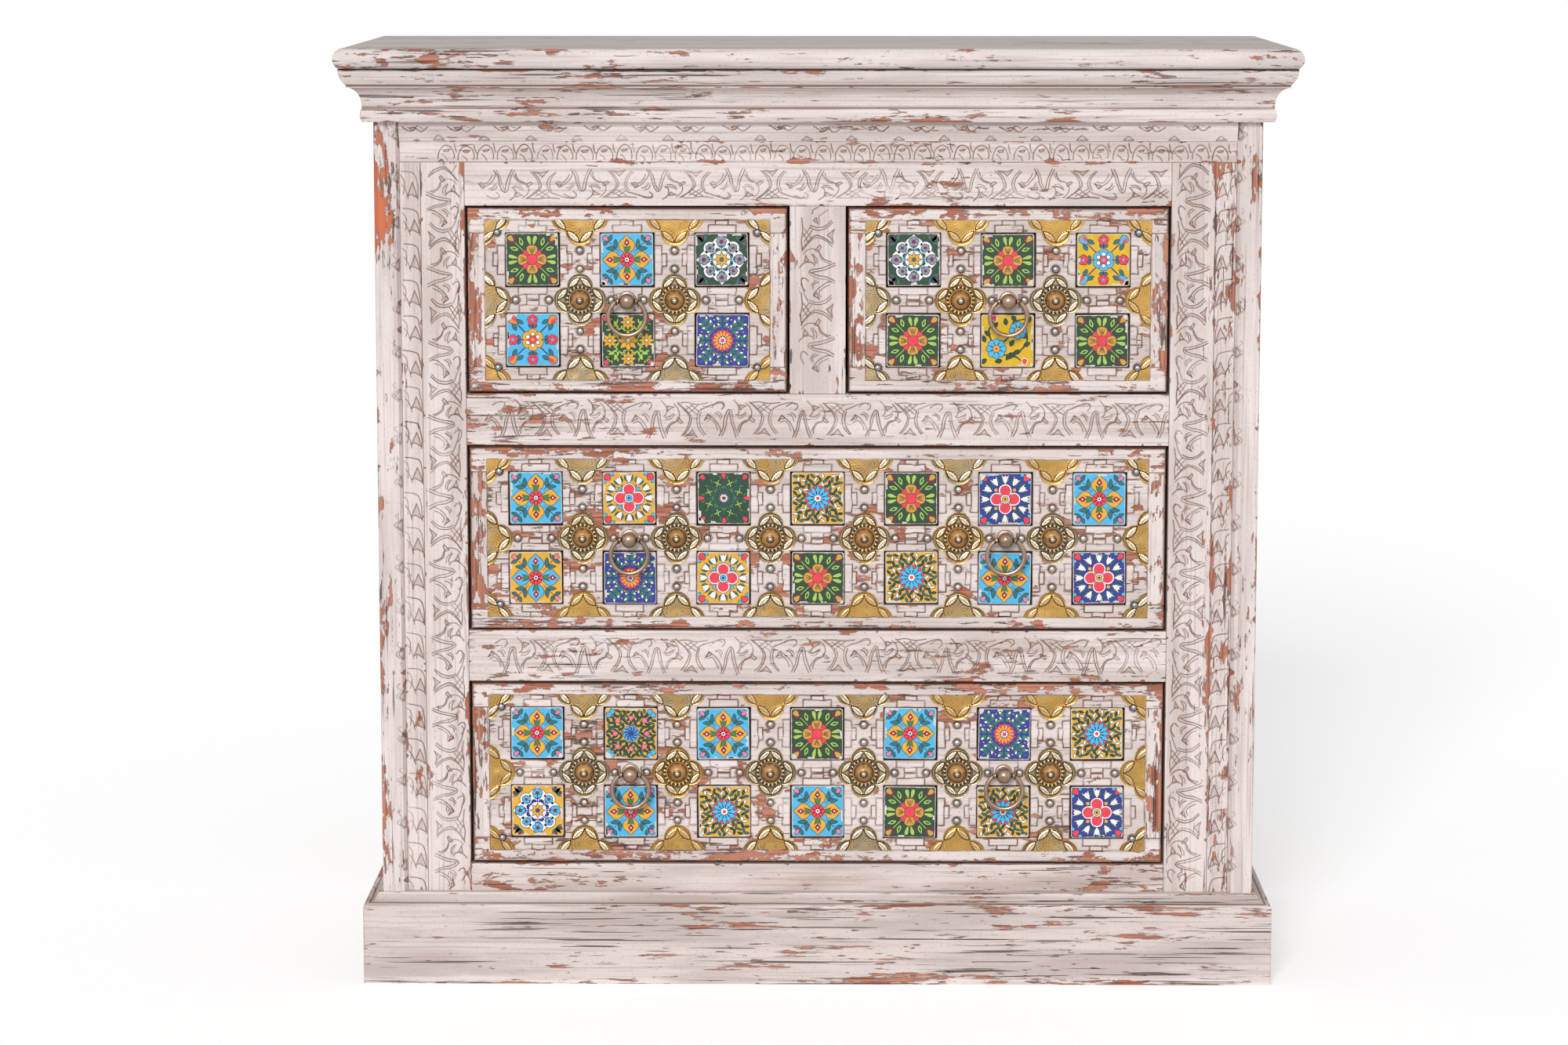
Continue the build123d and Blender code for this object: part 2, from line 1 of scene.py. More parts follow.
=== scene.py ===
"""Looks of a whitewashed chest of four drawers: carved frame, glazed tiles, pressed brass, ring pulls.

Everything is in metres in the chest's own frame: +Z up, the front faces -Y, the origin on the floor under
the middle of the chest. Small carved motifs are written in millimetres and scaled by MM.
"""

import logging
import math
import zlib
from dataclasses import dataclass, field, replace
from enum import Enum
from typing import Iterable, Optional, Sequence

import bpy
import numpy as np
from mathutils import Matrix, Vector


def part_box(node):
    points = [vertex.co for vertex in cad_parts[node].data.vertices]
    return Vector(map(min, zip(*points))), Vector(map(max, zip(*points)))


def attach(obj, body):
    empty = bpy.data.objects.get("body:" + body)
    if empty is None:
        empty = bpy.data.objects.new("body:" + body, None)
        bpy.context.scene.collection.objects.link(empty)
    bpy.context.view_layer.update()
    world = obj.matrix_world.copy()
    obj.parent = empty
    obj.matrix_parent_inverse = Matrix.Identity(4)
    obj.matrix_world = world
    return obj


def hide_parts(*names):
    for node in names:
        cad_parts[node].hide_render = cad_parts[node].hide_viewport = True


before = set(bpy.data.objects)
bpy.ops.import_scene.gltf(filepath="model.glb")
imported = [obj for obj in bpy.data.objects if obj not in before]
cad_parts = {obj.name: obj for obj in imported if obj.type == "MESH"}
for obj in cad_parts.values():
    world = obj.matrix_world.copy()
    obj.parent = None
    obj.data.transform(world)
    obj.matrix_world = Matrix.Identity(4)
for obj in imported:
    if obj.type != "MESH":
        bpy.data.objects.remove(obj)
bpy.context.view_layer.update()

MM = 0.001
log = logging.getLogger("chest")

Array = np.ndarray
Rng = np.random.Generator
Material = bpy.types.Material
Point = tuple[float, float]
Place = Sequence[float]
Colour = tuple[float, float, float, float]
Key = int | str


# ---------------------------------------------------------------- helpers


def linear(code: str) -> Colour:
    """Turns a screen colour such as DFD3CF into the linear values that a shader takes.

    Args:
        code: six hexadecimal digits, red first.

    Returns:
        Linear red, green, blue and an alpha of 1.
    """
    parts = [int(code[i : i + 2], 16) / 255 for i in (0, 2, 4)]
    red, green, blue = (c / 12.92 if c <= 0.04045 else ((c + 0.055) / 1.055) ** 2.4 for c in parts)
    return red, green, blue, 1.0


def dice(name: str) -> Rng:
    """A random source that is always the same for one piece name."""
    return np.random.default_rng(zlib.crc32(name.encode()))


def smooth(value: Array, low: float, high: float) -> Array:
    """A soft step from 0 below low to 1 above high."""
    share = np.clip((value - low) / (high - low), 0, 1)
    return share * share * (3 - 2 * share)


def bell(away: Array, width: float) -> Array:
    """1 where away is 0, falling off on both sides over width."""
    return np.exp(-((away / width) ** 2))


def fade(away: Array, width: float) -> Array:
    """1 where away is 0, fading out over width."""
    return np.exp(-away / width)


def soft_noise(run: Array, across: Array, pitch: Point, rng: Rng) -> Array:
    """A smooth random field over a grid.

    Args:
        run: grid lines along the board.
        across: grid lines across it.
        pitch: the distance between bumps along and across.
        rng: the random source.

    Returns:
        Values from -1 to 1, one row for each line across.
    """
    u, v = (run - run[0]) / pitch[0], (across - across[0]) / pitch[1]
    lattice = rng.uniform(-1, 1, (int(v[-1]) + 2, int(u[-1]) + 2))
    left, low = u.astype(int), v.astype(int)
    fu, fv = smooth(u - left, 0, 1), smooth(v - low, 0, 1)[:, None]
    near = lattice[np.ix_(low, left)] * (1 - fu) + lattice[np.ix_(low, left + 1)] * fu
    far = lattice[np.ix_(low + 1, left)] * (1 - fu) + lattice[np.ix_(low + 1, left + 1)] * fu
    return near * (1 - fv) + far * fv


def curve_through(points: Sequence[Point], steps: int = 4) -> Array:
    """A smooth line through a few points.

    Args:
        points: the points to pass.
        steps: how many pieces each stretch gets.

    Returns:
        The line's points, one row each.
    """
    p = np.array([points[0], *points, points[-1]], float)
    t = np.linspace(0, 1, steps, endpoint=False)[:, None]
    parts = []
    for a, b, c, d in zip(p[:-3], p[1:-2], p[2:-1], p[3:]):
        square, cube = 2 * a - 5 * b + 4 * c - d, 3 * b - a - 3 * c + d
        parts.append(0.5 * (2 * b + (c - a) * t + square * t**2 + cube * t**3))
    return np.vstack([*parts, p[-1:]])


def distance_to_line(x: Array, z: Array, line: Array) -> Array:
    """Distance from each grid point to a line of straight pieces.

    Args:
        x: first coordinates of the points.
        z: second coordinates.
        line: the line's corners, one row each.

    Returns:
        The distances, shaped as x.
    """
    best = np.full(np.broadcast(x, z).shape, np.inf)
    for (ax, az), (bx, bz) in zip(line[:-1], line[1:]):
        dx, dz = bx - ax, bz - az
        share = np.clip(((x - ax) * dx + (z - az) * dz) / (dx * dx + dz * dz + 1e-18), 0, 1)
        best = np.minimum(best, np.hypot(x - ax - share * dx, z - az - share * dz))
    return best


def inside_outline(x: Array, z: Array, outline: Array) -> Array:
    """Whether each grid point lies inside a closed outline.

    Args:
        x: first coordinates of the points.
        z: second coordinates.
        outline: the corners, one row each.

    Returns:
        True inside, shaped as x.
    """
    inside = np.zeros(np.broadcast(x, z).shape, bool)
    for (ax, az), (bx, bz) in zip(outline, np.roll(outline, -1, axis=0)):
        crosses = (az > z) != (bz > z)
        slope = (bx - ax) / (bz - az) if bz != az else 0.0
        inside ^= crosses & (x < ax + slope * (z - az))
    return inside


def grid_lines(low: float, high: float, cell: float, extra: Iterable[float] = ()) -> Array:
    """Grid lines between two ends, with some lines forced.

    Args:
        low: the first line.
        high: the last line.
        cell: the usual distance between lines.
        extra: lines that have to be there.

    Returns:
        The lines in order.
    """
    even = np.linspace(low, high, max(2, round((high - low) / cell) + 1))
    forced = np.array(sorted({low, high, *(e for e in extra if low < e < high)}))
    gap = np.abs(even[:, None] - forced).min(1)
    return np.unique(np.concatenate([even[gap > 0.3 * cell], forced]))


def round_over(distance: Array, radius: float) -> Array:
    """How far a rounded edge falls back at a distance in from it."""
    short = np.clip(radius - distance, 0, radius)
    return radius - np.sqrt(np.maximum(radius**2 - short**2, 0))


# ---------------------------------------------------------------- finishes


class GrainAxis(Enum):
    """Which way a board's grain runs."""

    ALONG_X = 0
    ALONG_Y = 1
    ALONG_Z = 2

    def stretch(self, share: float) -> tuple[float, float, float]:
        """Scale for a pattern that is drawn out along the grain by one over share."""
        return tuple(share if axis == self.value else 1.0 for axis in range(3))


@dataclass(frozen=True)
class Value:
    """A node's output, which adds, subtracts and multiplies like a number."""

    graph: "Graph"
    socket: bpy.types.NodeSocket

    def __add__(self, other: object) -> "Value":
        """The sum."""
        return self.graph.math("ADD", self, other)

    def __sub__(self, other: object) -> "Value":
        """The difference."""
        return self.graph.math("SUBTRACT", self, other)

    def __rsub__(self, other: object) -> "Value":
        """A number less this value."""
        return self.graph.math("SUBTRACT", other, self)

    def __mul__(self, other: object) -> "Value":
        """The product."""
        return self.graph.math("MULTIPLY", self, other)


class Graph:
    """The nodes of a material or of the world, with short calls for the ones that the finishes share."""

    def __init__(self, owner: bpy.types.Material | bpy.types.World) -> None:
        """Starts from the owner's one shader.

        Args:
            owner: a new material or world.
        """
        self.owner = owner
        owner.use_nodes = True
        self.nodes = owner.node_tree.nodes
        self.shader = self.nodes.get("Principled BSDF") or self.nodes["Background"]
        self.place = self.node("TexCoord", "Object", {})

    def wire(self, socket: bpy.types.NodeSocket, value: object) -> None:
        """Links an input to a node's output, or sets its number or colour.

        Args:
            socket: the input.
            value: a Value, a number or a colour.
        """
        if isinstance(value, Value):
            self.owner.node_tree.links.new(value.socket, socket)
        else:
            socket.default_value = value

    def node(self, kind: str, output: Key, inputs: dict[Key, object], **settings: object) -> Value:
        """Adds a node.

        Args:
            kind: Blender's name for it, after ShaderNode.
            output: which of its outputs is used.
            inputs: what its inputs get.
            settings: its other settings.

        Returns:
            The output.
        """
        node = self.nodes.new(f"ShaderNode{kind}")
        for name, setting in settings.items():
            setattr(node, name, setting)
        for key, value in inputs.items():
            self.wire(node.inputs[key], value)
        return Value(self, node.outputs[output])

    def math(self, operation: str, first: object, second: object = 0.0) -> Value:
        """A sum, product or other operation on two values or numbers."""
        return self.node("Math", 0, {0: first, 1: second}, operation=operation)

    def scaled(self, scale: Place, drift: float = 0.0) -> Value:
        """The surface's own coordinates, stretched, and moved on so that boards differ."""
        shift = (drift, 1.7 * drift, 0.6 * drift)
        return self.node("VectorMath", 0, {0: self.place, 1: scale, 2: shift}, operation="MULTIPLY_ADD")

    def noise(self, vector: Value, scale: float, detail: float, roughness: float) -> Value:
        """Cloudy noise around 0.5: bumps per metre, how many finer layers, and how strong those are."""
        inputs = {"Vector": vector, "Scale": scale, "Detail": detail, "Roughness": roughness}
        return self.node("TexNoise", "Fac", inputs)

    def step(self, value: object, low: float, high: float, top: float = 1.0) -> Value:
        """A soft step from 0 below low to top above high."""
        inputs = {"Value": value, "From Min": low, "From Max": high, "To Max": top}
        return self.node("MapRange", "Result", inputs, interpolation_type="SMOOTHSTEP")

    def mix(self, share: object, first: object, second: object) -> Value:
        """A mix of two colours, of which share is the second."""
        return self.node("Mix", 2, {0: share, 6: first, 7: second}, data_type="RGBA")

    def attribute(self, name: str, output: str = "Fac") -> Value:
        """A number that the mesh carries, or with output Color a colour."""
        return self.node("Attribute", output, {}, attribute_name=name)

    def part(self, vector: Value, axis: int) -> Value:
        """One coordinate of a vector."""
        return self.node("SeparateXYZ", axis, {0: vector})

    def faces(self, axis: int) -> Value:
        """1 where the surface faces along an axis, either way."""
        normal = self.node("NewGeometry", "True Normal", {})
        return self.step(self.math("ABSOLUTE", self.part(normal, axis)), 0.6, 0.7)

    def turn_grain(self, share: Value, order: tuple[int, int, int]) -> None:
        """Reorders the coordinates where a value is 1, so that the grain turns there.

        Args:
            share: the value.
            order: which axis is read for X, Y and Z there.
        """
        parts = {axis: self.part(self.place, source) for axis, source in enumerate(order)}
        turned_place = self.node("CombineXYZ", 0, parts)
        self.place = self.node("Mix", 1, {0: share, 4: self.place, 5: turned_place}, data_type="VECTOR")

    def bump(self, height: Value, distance: float) -> None:
        """Gives the shader a fine relief that stands distance high where height is 1."""
        normal = self.node("Bump", "Normal", {"Distance": distance, "Height": height})
        self.wire(self.shader.inputs["Normal"], normal)

    def dress(self, **values: object) -> Material:
        """Sets the shader's own sockets.

        Args:
            values: socket names with _ for each space, and their values.

        Returns:
            The finished material.
        """
        for key, value in values.items():
            self.wire(self.shader.inputs[key.replace("_", " ")], value)
        return self.owner


@dataclass(frozen=True)
class DistressedPaint:
    """Chalky whitewash over a terracotta ground, rubbed and flaked along the grain."""

    name: str
    grain: GrainAxis
    flaking: float = 0.5
    streaking: float = 0.5
    drift: float = 0.0
    bare_patch: Optional[tuple[Place, Place]] = None
    light: str = "E5D9D6"
    shade: str = "D0C2BE"
    drawn_out: float = 0.3
    has_upright_parts: bool = False

    def _bare(self, graph: Graph) -> Value | float:
        """How bare the paint is inside the box of bare_patch.

        Args:
            graph: the material's nodes.

        Returns:
            A value from 0 to 1, or plain 0 if there is no such box.
        """
        if self.bare_patch is None:
            return 0.0
        share: Value | float = 1.0
        for axis, (low, high) in enumerate(zip(*self.bare_patch)):
            at, soft = graph.part(graph.place, axis), (48 if axis == self.grain.value else 6) * MM
            past = graph.step(at, high - soft, high + soft)
            share = graph.step(at, low - soft, low + soft) * (1.0 - past) * share
        return share

    def material(self) -> Material:
        """Builds the finish.

        Returns:
            The material.
        """
        graph = Graph(bpy.data.materials.new(self.name))
        if self.has_upright_parts:
            graph.turn_grain(graph.attribute("upright"), (2, 1, 0))
        if self.grain is GrainAxis.ALONG_Y:
            graph.turn_grain(graph.faces(1), (1, 0, 2))
        even, flow, drawn, long_grain = (
            graph.scaled(self.grain.stretch(share), self.drift) for share in (1, self.drawn_out, 0.12, 0.016)
        )
        region = graph.noise(flow, 11, 3, 0.6)
        chips = graph.noise(flow, 96, 8, 0.64)
        flecks = graph.noise(drawn, 280, 4, 0.6)
        fibre = graph.noise(long_grain, 420, 4, 0.6)
        lines = graph.noise(long_grain, 460, 2, 0.5)
        cloud = graph.noise(drawn, 40, 4, 0.6)
        speck = graph.noise(even, 420, 4, 0.65)
        worn, wash = graph.attribute("worn"), graph.attribute("wash")

        patch = self._bare(graph)
        bared = worn * 0.17 + (region - 0.5) * 0.42 + patch * 0.185 + (fibre - 0.5) * 0.12
        edge, fine_edge = 0.71 - 0.16 * self.flaking, 0.7 - 0.1 * self.flaking
        flakes = graph.step(chips + bared, edge, edge + 0.014)
        lifted = graph.step(chips + bared, edge - 0.03, edge - 0.004) - flakes
        small = graph.step(flecks + bared * 0.75, fine_edge, fine_edge + 0.02)
        streak_edge = 0.66 - 0.24 * self.streaking
        near = graph.step(region + worn * 0.1, streak_edge, streak_edge + 0.08)
        streaks = graph.step(lines, 0.625, 0.655) * near

        # Little-worn paint takes the finish's own light and shade tones, worn paint the usual ones; on the
        # top board the own tones are a painted shade of its flat top.
        sound = graph.step(worn, 0.2, 0.4)
        light = graph.mix(sound, linear(self.light), linear(DistressedPaint.light))
        shade = graph.mix(sound, linear(self.shade), linear(DistressedPaint.shade))
        white = graph.mix(graph.step(cloud, 0.38, 0.66), light, shade)
        white = graph.mix(graph.step(fibre, 0.5, 0.66, 0.5), white, linear("B09E95"))
        white = graph.mix(graph.step(speck, 0.6, 0.66, 0.4), white, linear("9C877D"))
        ground = graph.mix(graph.step(fibre, 0.38, 0.62), linear("9C5B45"), linear("BE8069"))
        ground = graph.mix(graph.step(lines, 0.57, 0.62, 0.5), ground, linear("6A4739"))
        if self.bare_patch is not None:
            ground = graph.mix(patch * 0.75, ground, linear("CC6A3C"))
        settled = graph.step(wash, 0.05, 0.95) * graph.step(cloud, 0.1, 0.5, 0.95)
        stained = graph.mix(settled, white, linear("6E4C36"))
        stained = graph.mix(lifted * 0.6, stained, linear("6B4C3E"))
        ruddy = graph.mix(graph.step(cloud, 0.42, 0.6), linear("8A5544"), linear("4E3A31"))
        bare = graph.mix(flakes, graph.mix(small * 0.85, stained, ruddy), ground)
        final = graph.mix(streaks * 0.85, bare, linear("4A3A34"))
        # Wash above 1 turns near-black: a painted shadow, set along the drawer fronts' outer edges and round
        # the tile pockets for the gaps there.
        final = graph.mix(graph.step(wash, 1.05, 1.5), final, linear("14100E"))

        skin = 1.0 - graph.math("MAXIMUM", flakes, small)
        graph.bump(skin + fibre * 0.55 - streaks * 1.2 + speck * 0.35, 0.3 * MM)
        rough = 0.86 - graph.step(flakes + cloud * 0.5, 0.0, 1.6, 0.3)
        return graph.dress(Base_Color=final, Roughness=rough, Specular_IOR_Level=0.3)


@dataclass(frozen=True)
class BareWood:
    """Plain sawn hardwood of the drawer boxes and the inside of the case."""

    name: str
    grain: GrainAxis
    light: str = "B08A62"
    dark: str = "7C5638"
    has_cross_panels: bool = False

    def material(self) -> Material:
        """Builds the finish.

        Returns:
            The material.
        """
        graph = Graph(bpy.data.materials.new(self.name))
        if self.has_cross_panels:
            graph.turn_grain(graph.faces(1), (1, 0, 2))
        board = graph.scaled(self.grain.stretch(0.05))
        bands = graph.noise(board, 34, 3, 0.5)
        fibre = graph.noise(board, 520, 4, 0.6)
        pores = graph.noise(graph.scaled(self.grain.stretch(0.08)), 1400, 2, 0.5)
        tone = graph.mix(graph.step(bands, 0.34, 0.66), linear(self.light), linear(self.dark))
        tone = graph.mix(graph.step(fibre, 0.42, 0.72, 0.55), tone, linear(self.dark))
        tone = graph.mix(graph.step(pores, 0.6, 0.7, 0.5), tone, linear("4A3122"))
        graph.bump(fibre, 0.15 * MM)
        return graph.dress(Base_Color=tone, Roughness=fibre * 0.25 + 0.5, Specular_IOR_Level=0.35)


@dataclass(frozen=True)
class AgedMetal:
    """Brass or bronze with brown patina in its creases, a hammered or cast surface, and pale raised spots
    that are partly rubbed polish and partly a painted highlight.
    """

    name: str
    bright: str
    dull: str
    crease: str
    polish_and_highlight: str
    grit: float = 700.0
    smoothness: float = 0.2
    relief: float = 0.05 * MM

    def material(self) -> Material:
        """Builds the finish.

        Returns:
            The material.
        """
        graph = Graph(bpy.data.materials.new(self.name))
        plain = graph.scaled((1, 1, 1))
        blotch = graph.noise(plain, 70, 4, 0.6)
        stain = graph.noise(plain, 260, 5, 0.65)
        patina = graph.attribute("patina")
        age = (blotch - 0.5) * 1.6 + graph.attribute("tint")
        tone = graph.mix(graph.step(age, 0.1, 0.9), linear(self.bright), linear(self.dull))
        tone = graph.mix(graph.step(stain, 0.54, 0.72, 0.4), tone, linear(self.crease))
        # Negative patina, on raised leaves and beads, takes the pale polish colour: partly rubbed wear,
        # partly a painted highlight.
        rubbed = graph.step(patina, 0.0, -0.8) * graph.step(stain, 0.25, 0.5)
        tone = graph.mix(rubbed, tone, linear(self.polish_and_highlight))
        tone = graph.mix(graph.step(patina, 0.05, 0.7, 0.97), tone, linear(self.crease))
        rough = (graph.math("MAXIMUM", patina, 0.0) + blotch) * 0.22 + self.smoothness
        graph.bump(graph.noise(plain, self.grit, 3, 0.5), self.relief)
        return graph.dress(Base_Color=tone, Roughness=rough, Metallic=1.0)


@dataclass(frozen=True)
class PaintedGlaze:
    """Hand-painted colours under a clear glaze, with the biscuit body showing where it has worn."""

    name: str = "painted_glaze"

    def material(self) -> Material:
        """Builds the finish.

        Returns:
            The material.
        """
        graph = Graph(bpy.data.materials.new(self.name))
        plain = graph.scaled((1, 1, 1))
        pooled = graph.noise(plain, 160, 4, 0.6)
        pin = graph.noise(plain, 1500, 2, 0.6)
        inputs = {"Color": graph.attribute("glaze", "Color"), "Value": pooled * 0.5 + 0.72}
        shade = graph.node("HueSaturation", "Color", inputs)
        tone = graph.mix(graph.step(pin, 0.66, 0.74, 0.5), shade, linear("E8E2DA"))
        rough = graph.attribute("worn") * 0.5 + 0.1 + pooled * 0.12
        graph.bump(pooled, 0.12 * MM)
        return graph.dress(Base_Color=tone, Roughness=rough, Coat_Weight=0.35, Coat_Roughness=0.08)


# ---------------------------------------------------------------- meshes


def ring_quads(rows: int, columns: int) -> Array:
    """Faces of a tube of rings.

    Args:
        rows: how many rings.
        columns: points in each.

    Returns:
        Four point numbers a row.
    """
    row, column = np.meshgrid(np.arange(rows - 1) * columns, np.arange(columns), indexing="ij")
    following = (column + 1) % columns
    corners = [row + column, row + following, row + columns + following, row + columns + column]
    return np.stack(corners, -1).reshape(-1, 4)


def grid_quads(rows: int, columns: int) -> Array:
    """Faces of an open grid.

    Args:
        rows: how many rows of points.
        columns: points in each.

    Returns:
        Four point numbers a row.
    """
    row, column = np.meshgrid(np.arange(rows - 1), np.arange(columns - 1), indexing="ij")
    first = row * columns + column
    return np.stack([first, first + 1, first + columns + 1, first + columns], -1).reshape(-1, 4)


class MeshMaker:
    """Collects the points, faces and surface values of one piece, then makes its object."""

    def __init__(self, *value_names: str) -> None:
        """Starts an empty piece.

        Args:
            value_names: the values that each point carries, such as wash or worn.
        """
        self.points: list[Array] = []
        self.loops: list[Array] = []
        self.counts: list[Array] = []
        self.values: dict[str, list[Array]] = {name: [] for name in value_names}
        self.total = 0

    def add(self, points: Array, quads: Array, others: Sequence[Place] = (), **values: object) -> None:
        """Adds one closed lump.

        Args:
            points: its points.
            quads: four point numbers a row.
            others: faces with any other number of corners.
            values: an array or one number for each named value.
        """
        points = np.asarray(points, float).reshape(-1, 3)
        self.points.append(points)
        self.loops += [np.asarray(loop, int).ravel() + self.total for loop in (quads, *others)]
        self.counts += [np.full(len(quads), 4), np.array([len(o) for o in others], int)]
        for name, parts in self.values.items():
            width = () if name != "glaze" else (4,)
            parts.append(np.broadcast_to(values.get(name, 0.0), (len(points), *width)))
        self.total += len(points)

    def tube(self, rings: Array, is_flipped: bool = False, **values: object) -> None:
        """Adds a row of closed rings with a flat face at each end.

        Args:
            rings: the points, by ring and place in it.
            is_flipped: turns the faces round.
            values: an array or one number for each named value.
        """
        rows, count = rings.shape[:2]
        quads = ring_quads(rows, count)
        ends = [np.arange(count)[::-1], np.arange((rows - 1) * count, rows * count)]
        if is_flipped:
            quads, ends = quads[:, ::-1], [end[::-1] for end in ends]
        self.add(rings, quads, ends, **values)

    def _object(self, name: str, crease: float) -> bpy.types.Object:
        """Makes the Blender object.

        Args:
            name: the piece's name.
            crease: edges sharper than this many degrees stay sharp.

        Returns:
            The object, in the scene.
        """
        loops, counts = np.concatenate(self.loops), np.concatenate(self.counts)
        mesh = bpy.data.meshes.new(name)
        mesh.vertices.add(self.total)
        mesh.vertices.foreach_set("co", np.vstack(self.points).astype(np.float32).ravel())
        mesh.loops.add(len(loops))
        mesh.loops.foreach_set("vertex_index", loops.astype(np.int32))
        mesh.polygons.add(len(counts))
        starts = np.concatenate([[0], np.cumsum(counts)[:-1]]).astype(np.int32)
        mesh.polygons.foreach_set("loop_start", starts)
        mesh.polygons.foreach_set("use_smooth", np.ones(len(counts), bool))
        mesh.update(calc_edges=True)
        for key, parts in self.values.items():
            kind, slot = ("FLOAT_COLOR", "color") if key == "glaze" else ("FLOAT", "value")
            layer = mesh.attributes.new(key, kind, "POINT")
            layer.data.foreach_set(slot, np.concatenate(parts).astype(np.float32).ravel())
        mesh.set_sharp_from_angle(angle=math.radians(crease))
        piece = bpy.data.objects.new(name, mesh)
        bpy.context.scene.collection.objects.link(piece)
        return piece

    def settle(
        self, name: str, material: Material, body: str, slot: str, stands_for: str, crease: float = 35.0
    ) -> None:
        """Makes the piece, gives it its material and ties it to the chest.

        Args:
            name: the piece's name.
            material: its finish.
            body: the body that it moves with.
            slot: the record's material slot; not used.
            stands_for: the construction node that it is shown instead of.
            crease: edges sharper than this many degrees stay sharp.
        """
        piece = self._object(name, crease)
        piece.data.materials.append(material)
        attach(piece, body)
        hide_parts(stands_for)
        log.info("%s: %d faces on %s", name, len(piece.data.polygons), body)

    def settle_on_case(self, node: str, paint: Material, crease: float = 35.0) -> None:
        """Makes a painted piece of the case, named for the node that it is shown instead of."""
        self.settle(f"{node}_painted", paint, "case", "painted_wood", node, crease)


def keep_as_built(name: str, wood: Material) -> None:
    """Shows a construction node as it is, in bare wood.

    Args:
        name: the node.
        wood: its finish.
    """
    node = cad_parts[name]
    node.data.materials.clear()
    node.data.materials.append(wood)
    log.info("%s: kept as built", name)


@dataclass
class Relief:
    """One board's carved face: a grid of depths under the face, with brown wash and wear; on the drawer
    fronts the wash also carries painted shadow in the gaps.
    """

    run: Array
    across: Array
    depth: Array = field(init=False)
    wash: Array = field(init=False)
    worn: Array = field(init=False)
    has_upright_grain: bool = False

    def __post_init__(self) -> None:
        """Starts flat and clean."""
        shape = (len(self.across), len(self.run))
        self.depth, self.wash, self.worn = (np.zeros(shape) for _ in range(3))

    def _window(self, points: Array, margin: float) -> Optional[tuple[slice, slice]]:
        """The part of the grid round some points.

        Args:
            points: rows of (run, across).
            margin: how far round them.

        Returns:
            Row and column slices, or nothing if the points lie off the board.
        """
        low, high = points.min(0) - margin, points.max(0) + margin
        columns = slice(*np.searchsorted(self.run, (low[0], high[0])))
        rows = slice(*np.searchsorted(self.across, (low[1], high[1])))
        is_empty = rows.start == rows.stop or columns.start == columns.stop
        return None if is_empty else (rows, columns)

    def groove(self, line: Array, width: float, depth: float, wash: float) -> None:
        """Cuts a V-shaped line.

        Args:
            line: its points.
            width: its width at the face.
            depth: its depth.
            wash: how brown it is.
        """
        part = self._window(line, 1.5 * width)
        if part is None:
            return
        away = distance_to_line(self.run[None, part[1]], self.across[part[0], None], line)
        self.depth[part] = np.maximum(self.depth[part], depth * (1 - smooth(away, 0, 0.62 * width)))
        self.wash[part] = np.maximum(self.wash[part], wash * bell(away, 0.36 * width))

    def chip(
        self, outline: Array, depth: float, wash: float = 0.55, edge: float = 1.2 * MM, wear: float = 0.0
    ) -> None:
        """Cuts a flat-bottomed recess, or raises a small facet if its depth is negative.

        Args:
            outline: its corners.
            depth: its depth.
            wash: how brown its floor is.
            edge: how far its walls lean in.
            wear: how bare its floor is.
        """
        part = self._window(outline, 2 * edge)
        if part is None:
            return
        x, z = self.run[None, part[1]], self.across[part[0], None]
        away = distance_to_line(x, z, np.vstack([outline, outline[:1]]))
        inside = inside_outline(x, z, outline)
        cut = depth * np.where(inside, smooth(away, 0, edge), 0)
        before = self.depth[part]
        self.depth[part] = np.maximum(before, cut) if depth > 0 else before + cut
        self.worn[part] = np.maximum(self.worn[part], np.where(inside, wear, 0))
        stain = np.where(inside, wash, 0) + (1 - wash) * bell(away, 0.5 * MM)
        self.wash[part] = np.maximum(self.wash[part], stain)

    def rub(self, amount: Array) -> None:
        """Wears the face down to at least this amount."""
        self.worn = np.maximum(self.worn, amount)

    def soften_edges(self, radius: float, wear: float, soot: float) -> None:
        """Rounds all four edges of the face and wears them.

        Args:
            radius: how far the rounding reaches.
            wear: how worn the edges are.
            soot: how dark the joint looks.
        """
        along, over = (np.minimum(line - line[0], line[-1] - line) for line in (self.run, self.across))
        along, over = along[None, :], over[:, None]
        self.depth += np.maximum(round_over(along, radius), round_over(over, radius))
        nearest = np.minimum(along, over)
        self.rub(wear * fade(nearest, 2.2 * radius + 2 * MM))
        self.wash = np.maximum(self.wash, soot * fade(nearest, 0.7 * MM))

    def nicks(self, count: int, rng: Rng, size: float = 3.5 * MM) -> None:
        """Knocks small pieces out of the long edges.

        Args:
            count: how many.
            rng: the random source.
            size: the usual length of one.
        """
        for at in rng.uniform(self.run[0], self.run[-1], count):
            edge, inward = (self.across[0], 1) if rng.random() < 0.5 else (self.across[-1], -1)
            long, deep = rng.uniform(0.5, 2.2) * size, rng.uniform(0.3, 0.8) * size
            spots = ((-0.5, -0.1), (-0.2, 0.7), (0.1, 1.0), (0.3, 0.5), (0.5, -0.1))
            outline = np.array([(at + a * long, edge + inward * b * deep) for a, b in spots])
            self.chip(outline, rng.uniform(0.3, 1.0) * MM, 0.5, 0.8 * MM, 1.0)

    def tool_marks(self, rng: Rng, height: float) -> None:
        """Adds the uneven planing and grain of an old board.

        Args:
            rng: the random source.
            height: how high the marks stand.
        """
        fine = soft_noise(self.run, self.across, (26 * MM, 2.4 * MM), rng)
        broad = soft_noise(self.run, self.across, (90 * MM, 22 * MM), rng)
        self.depth += height * (0.5 + 0.3 * fine) + 2 * height * (0.5 + 0.5 * broad)


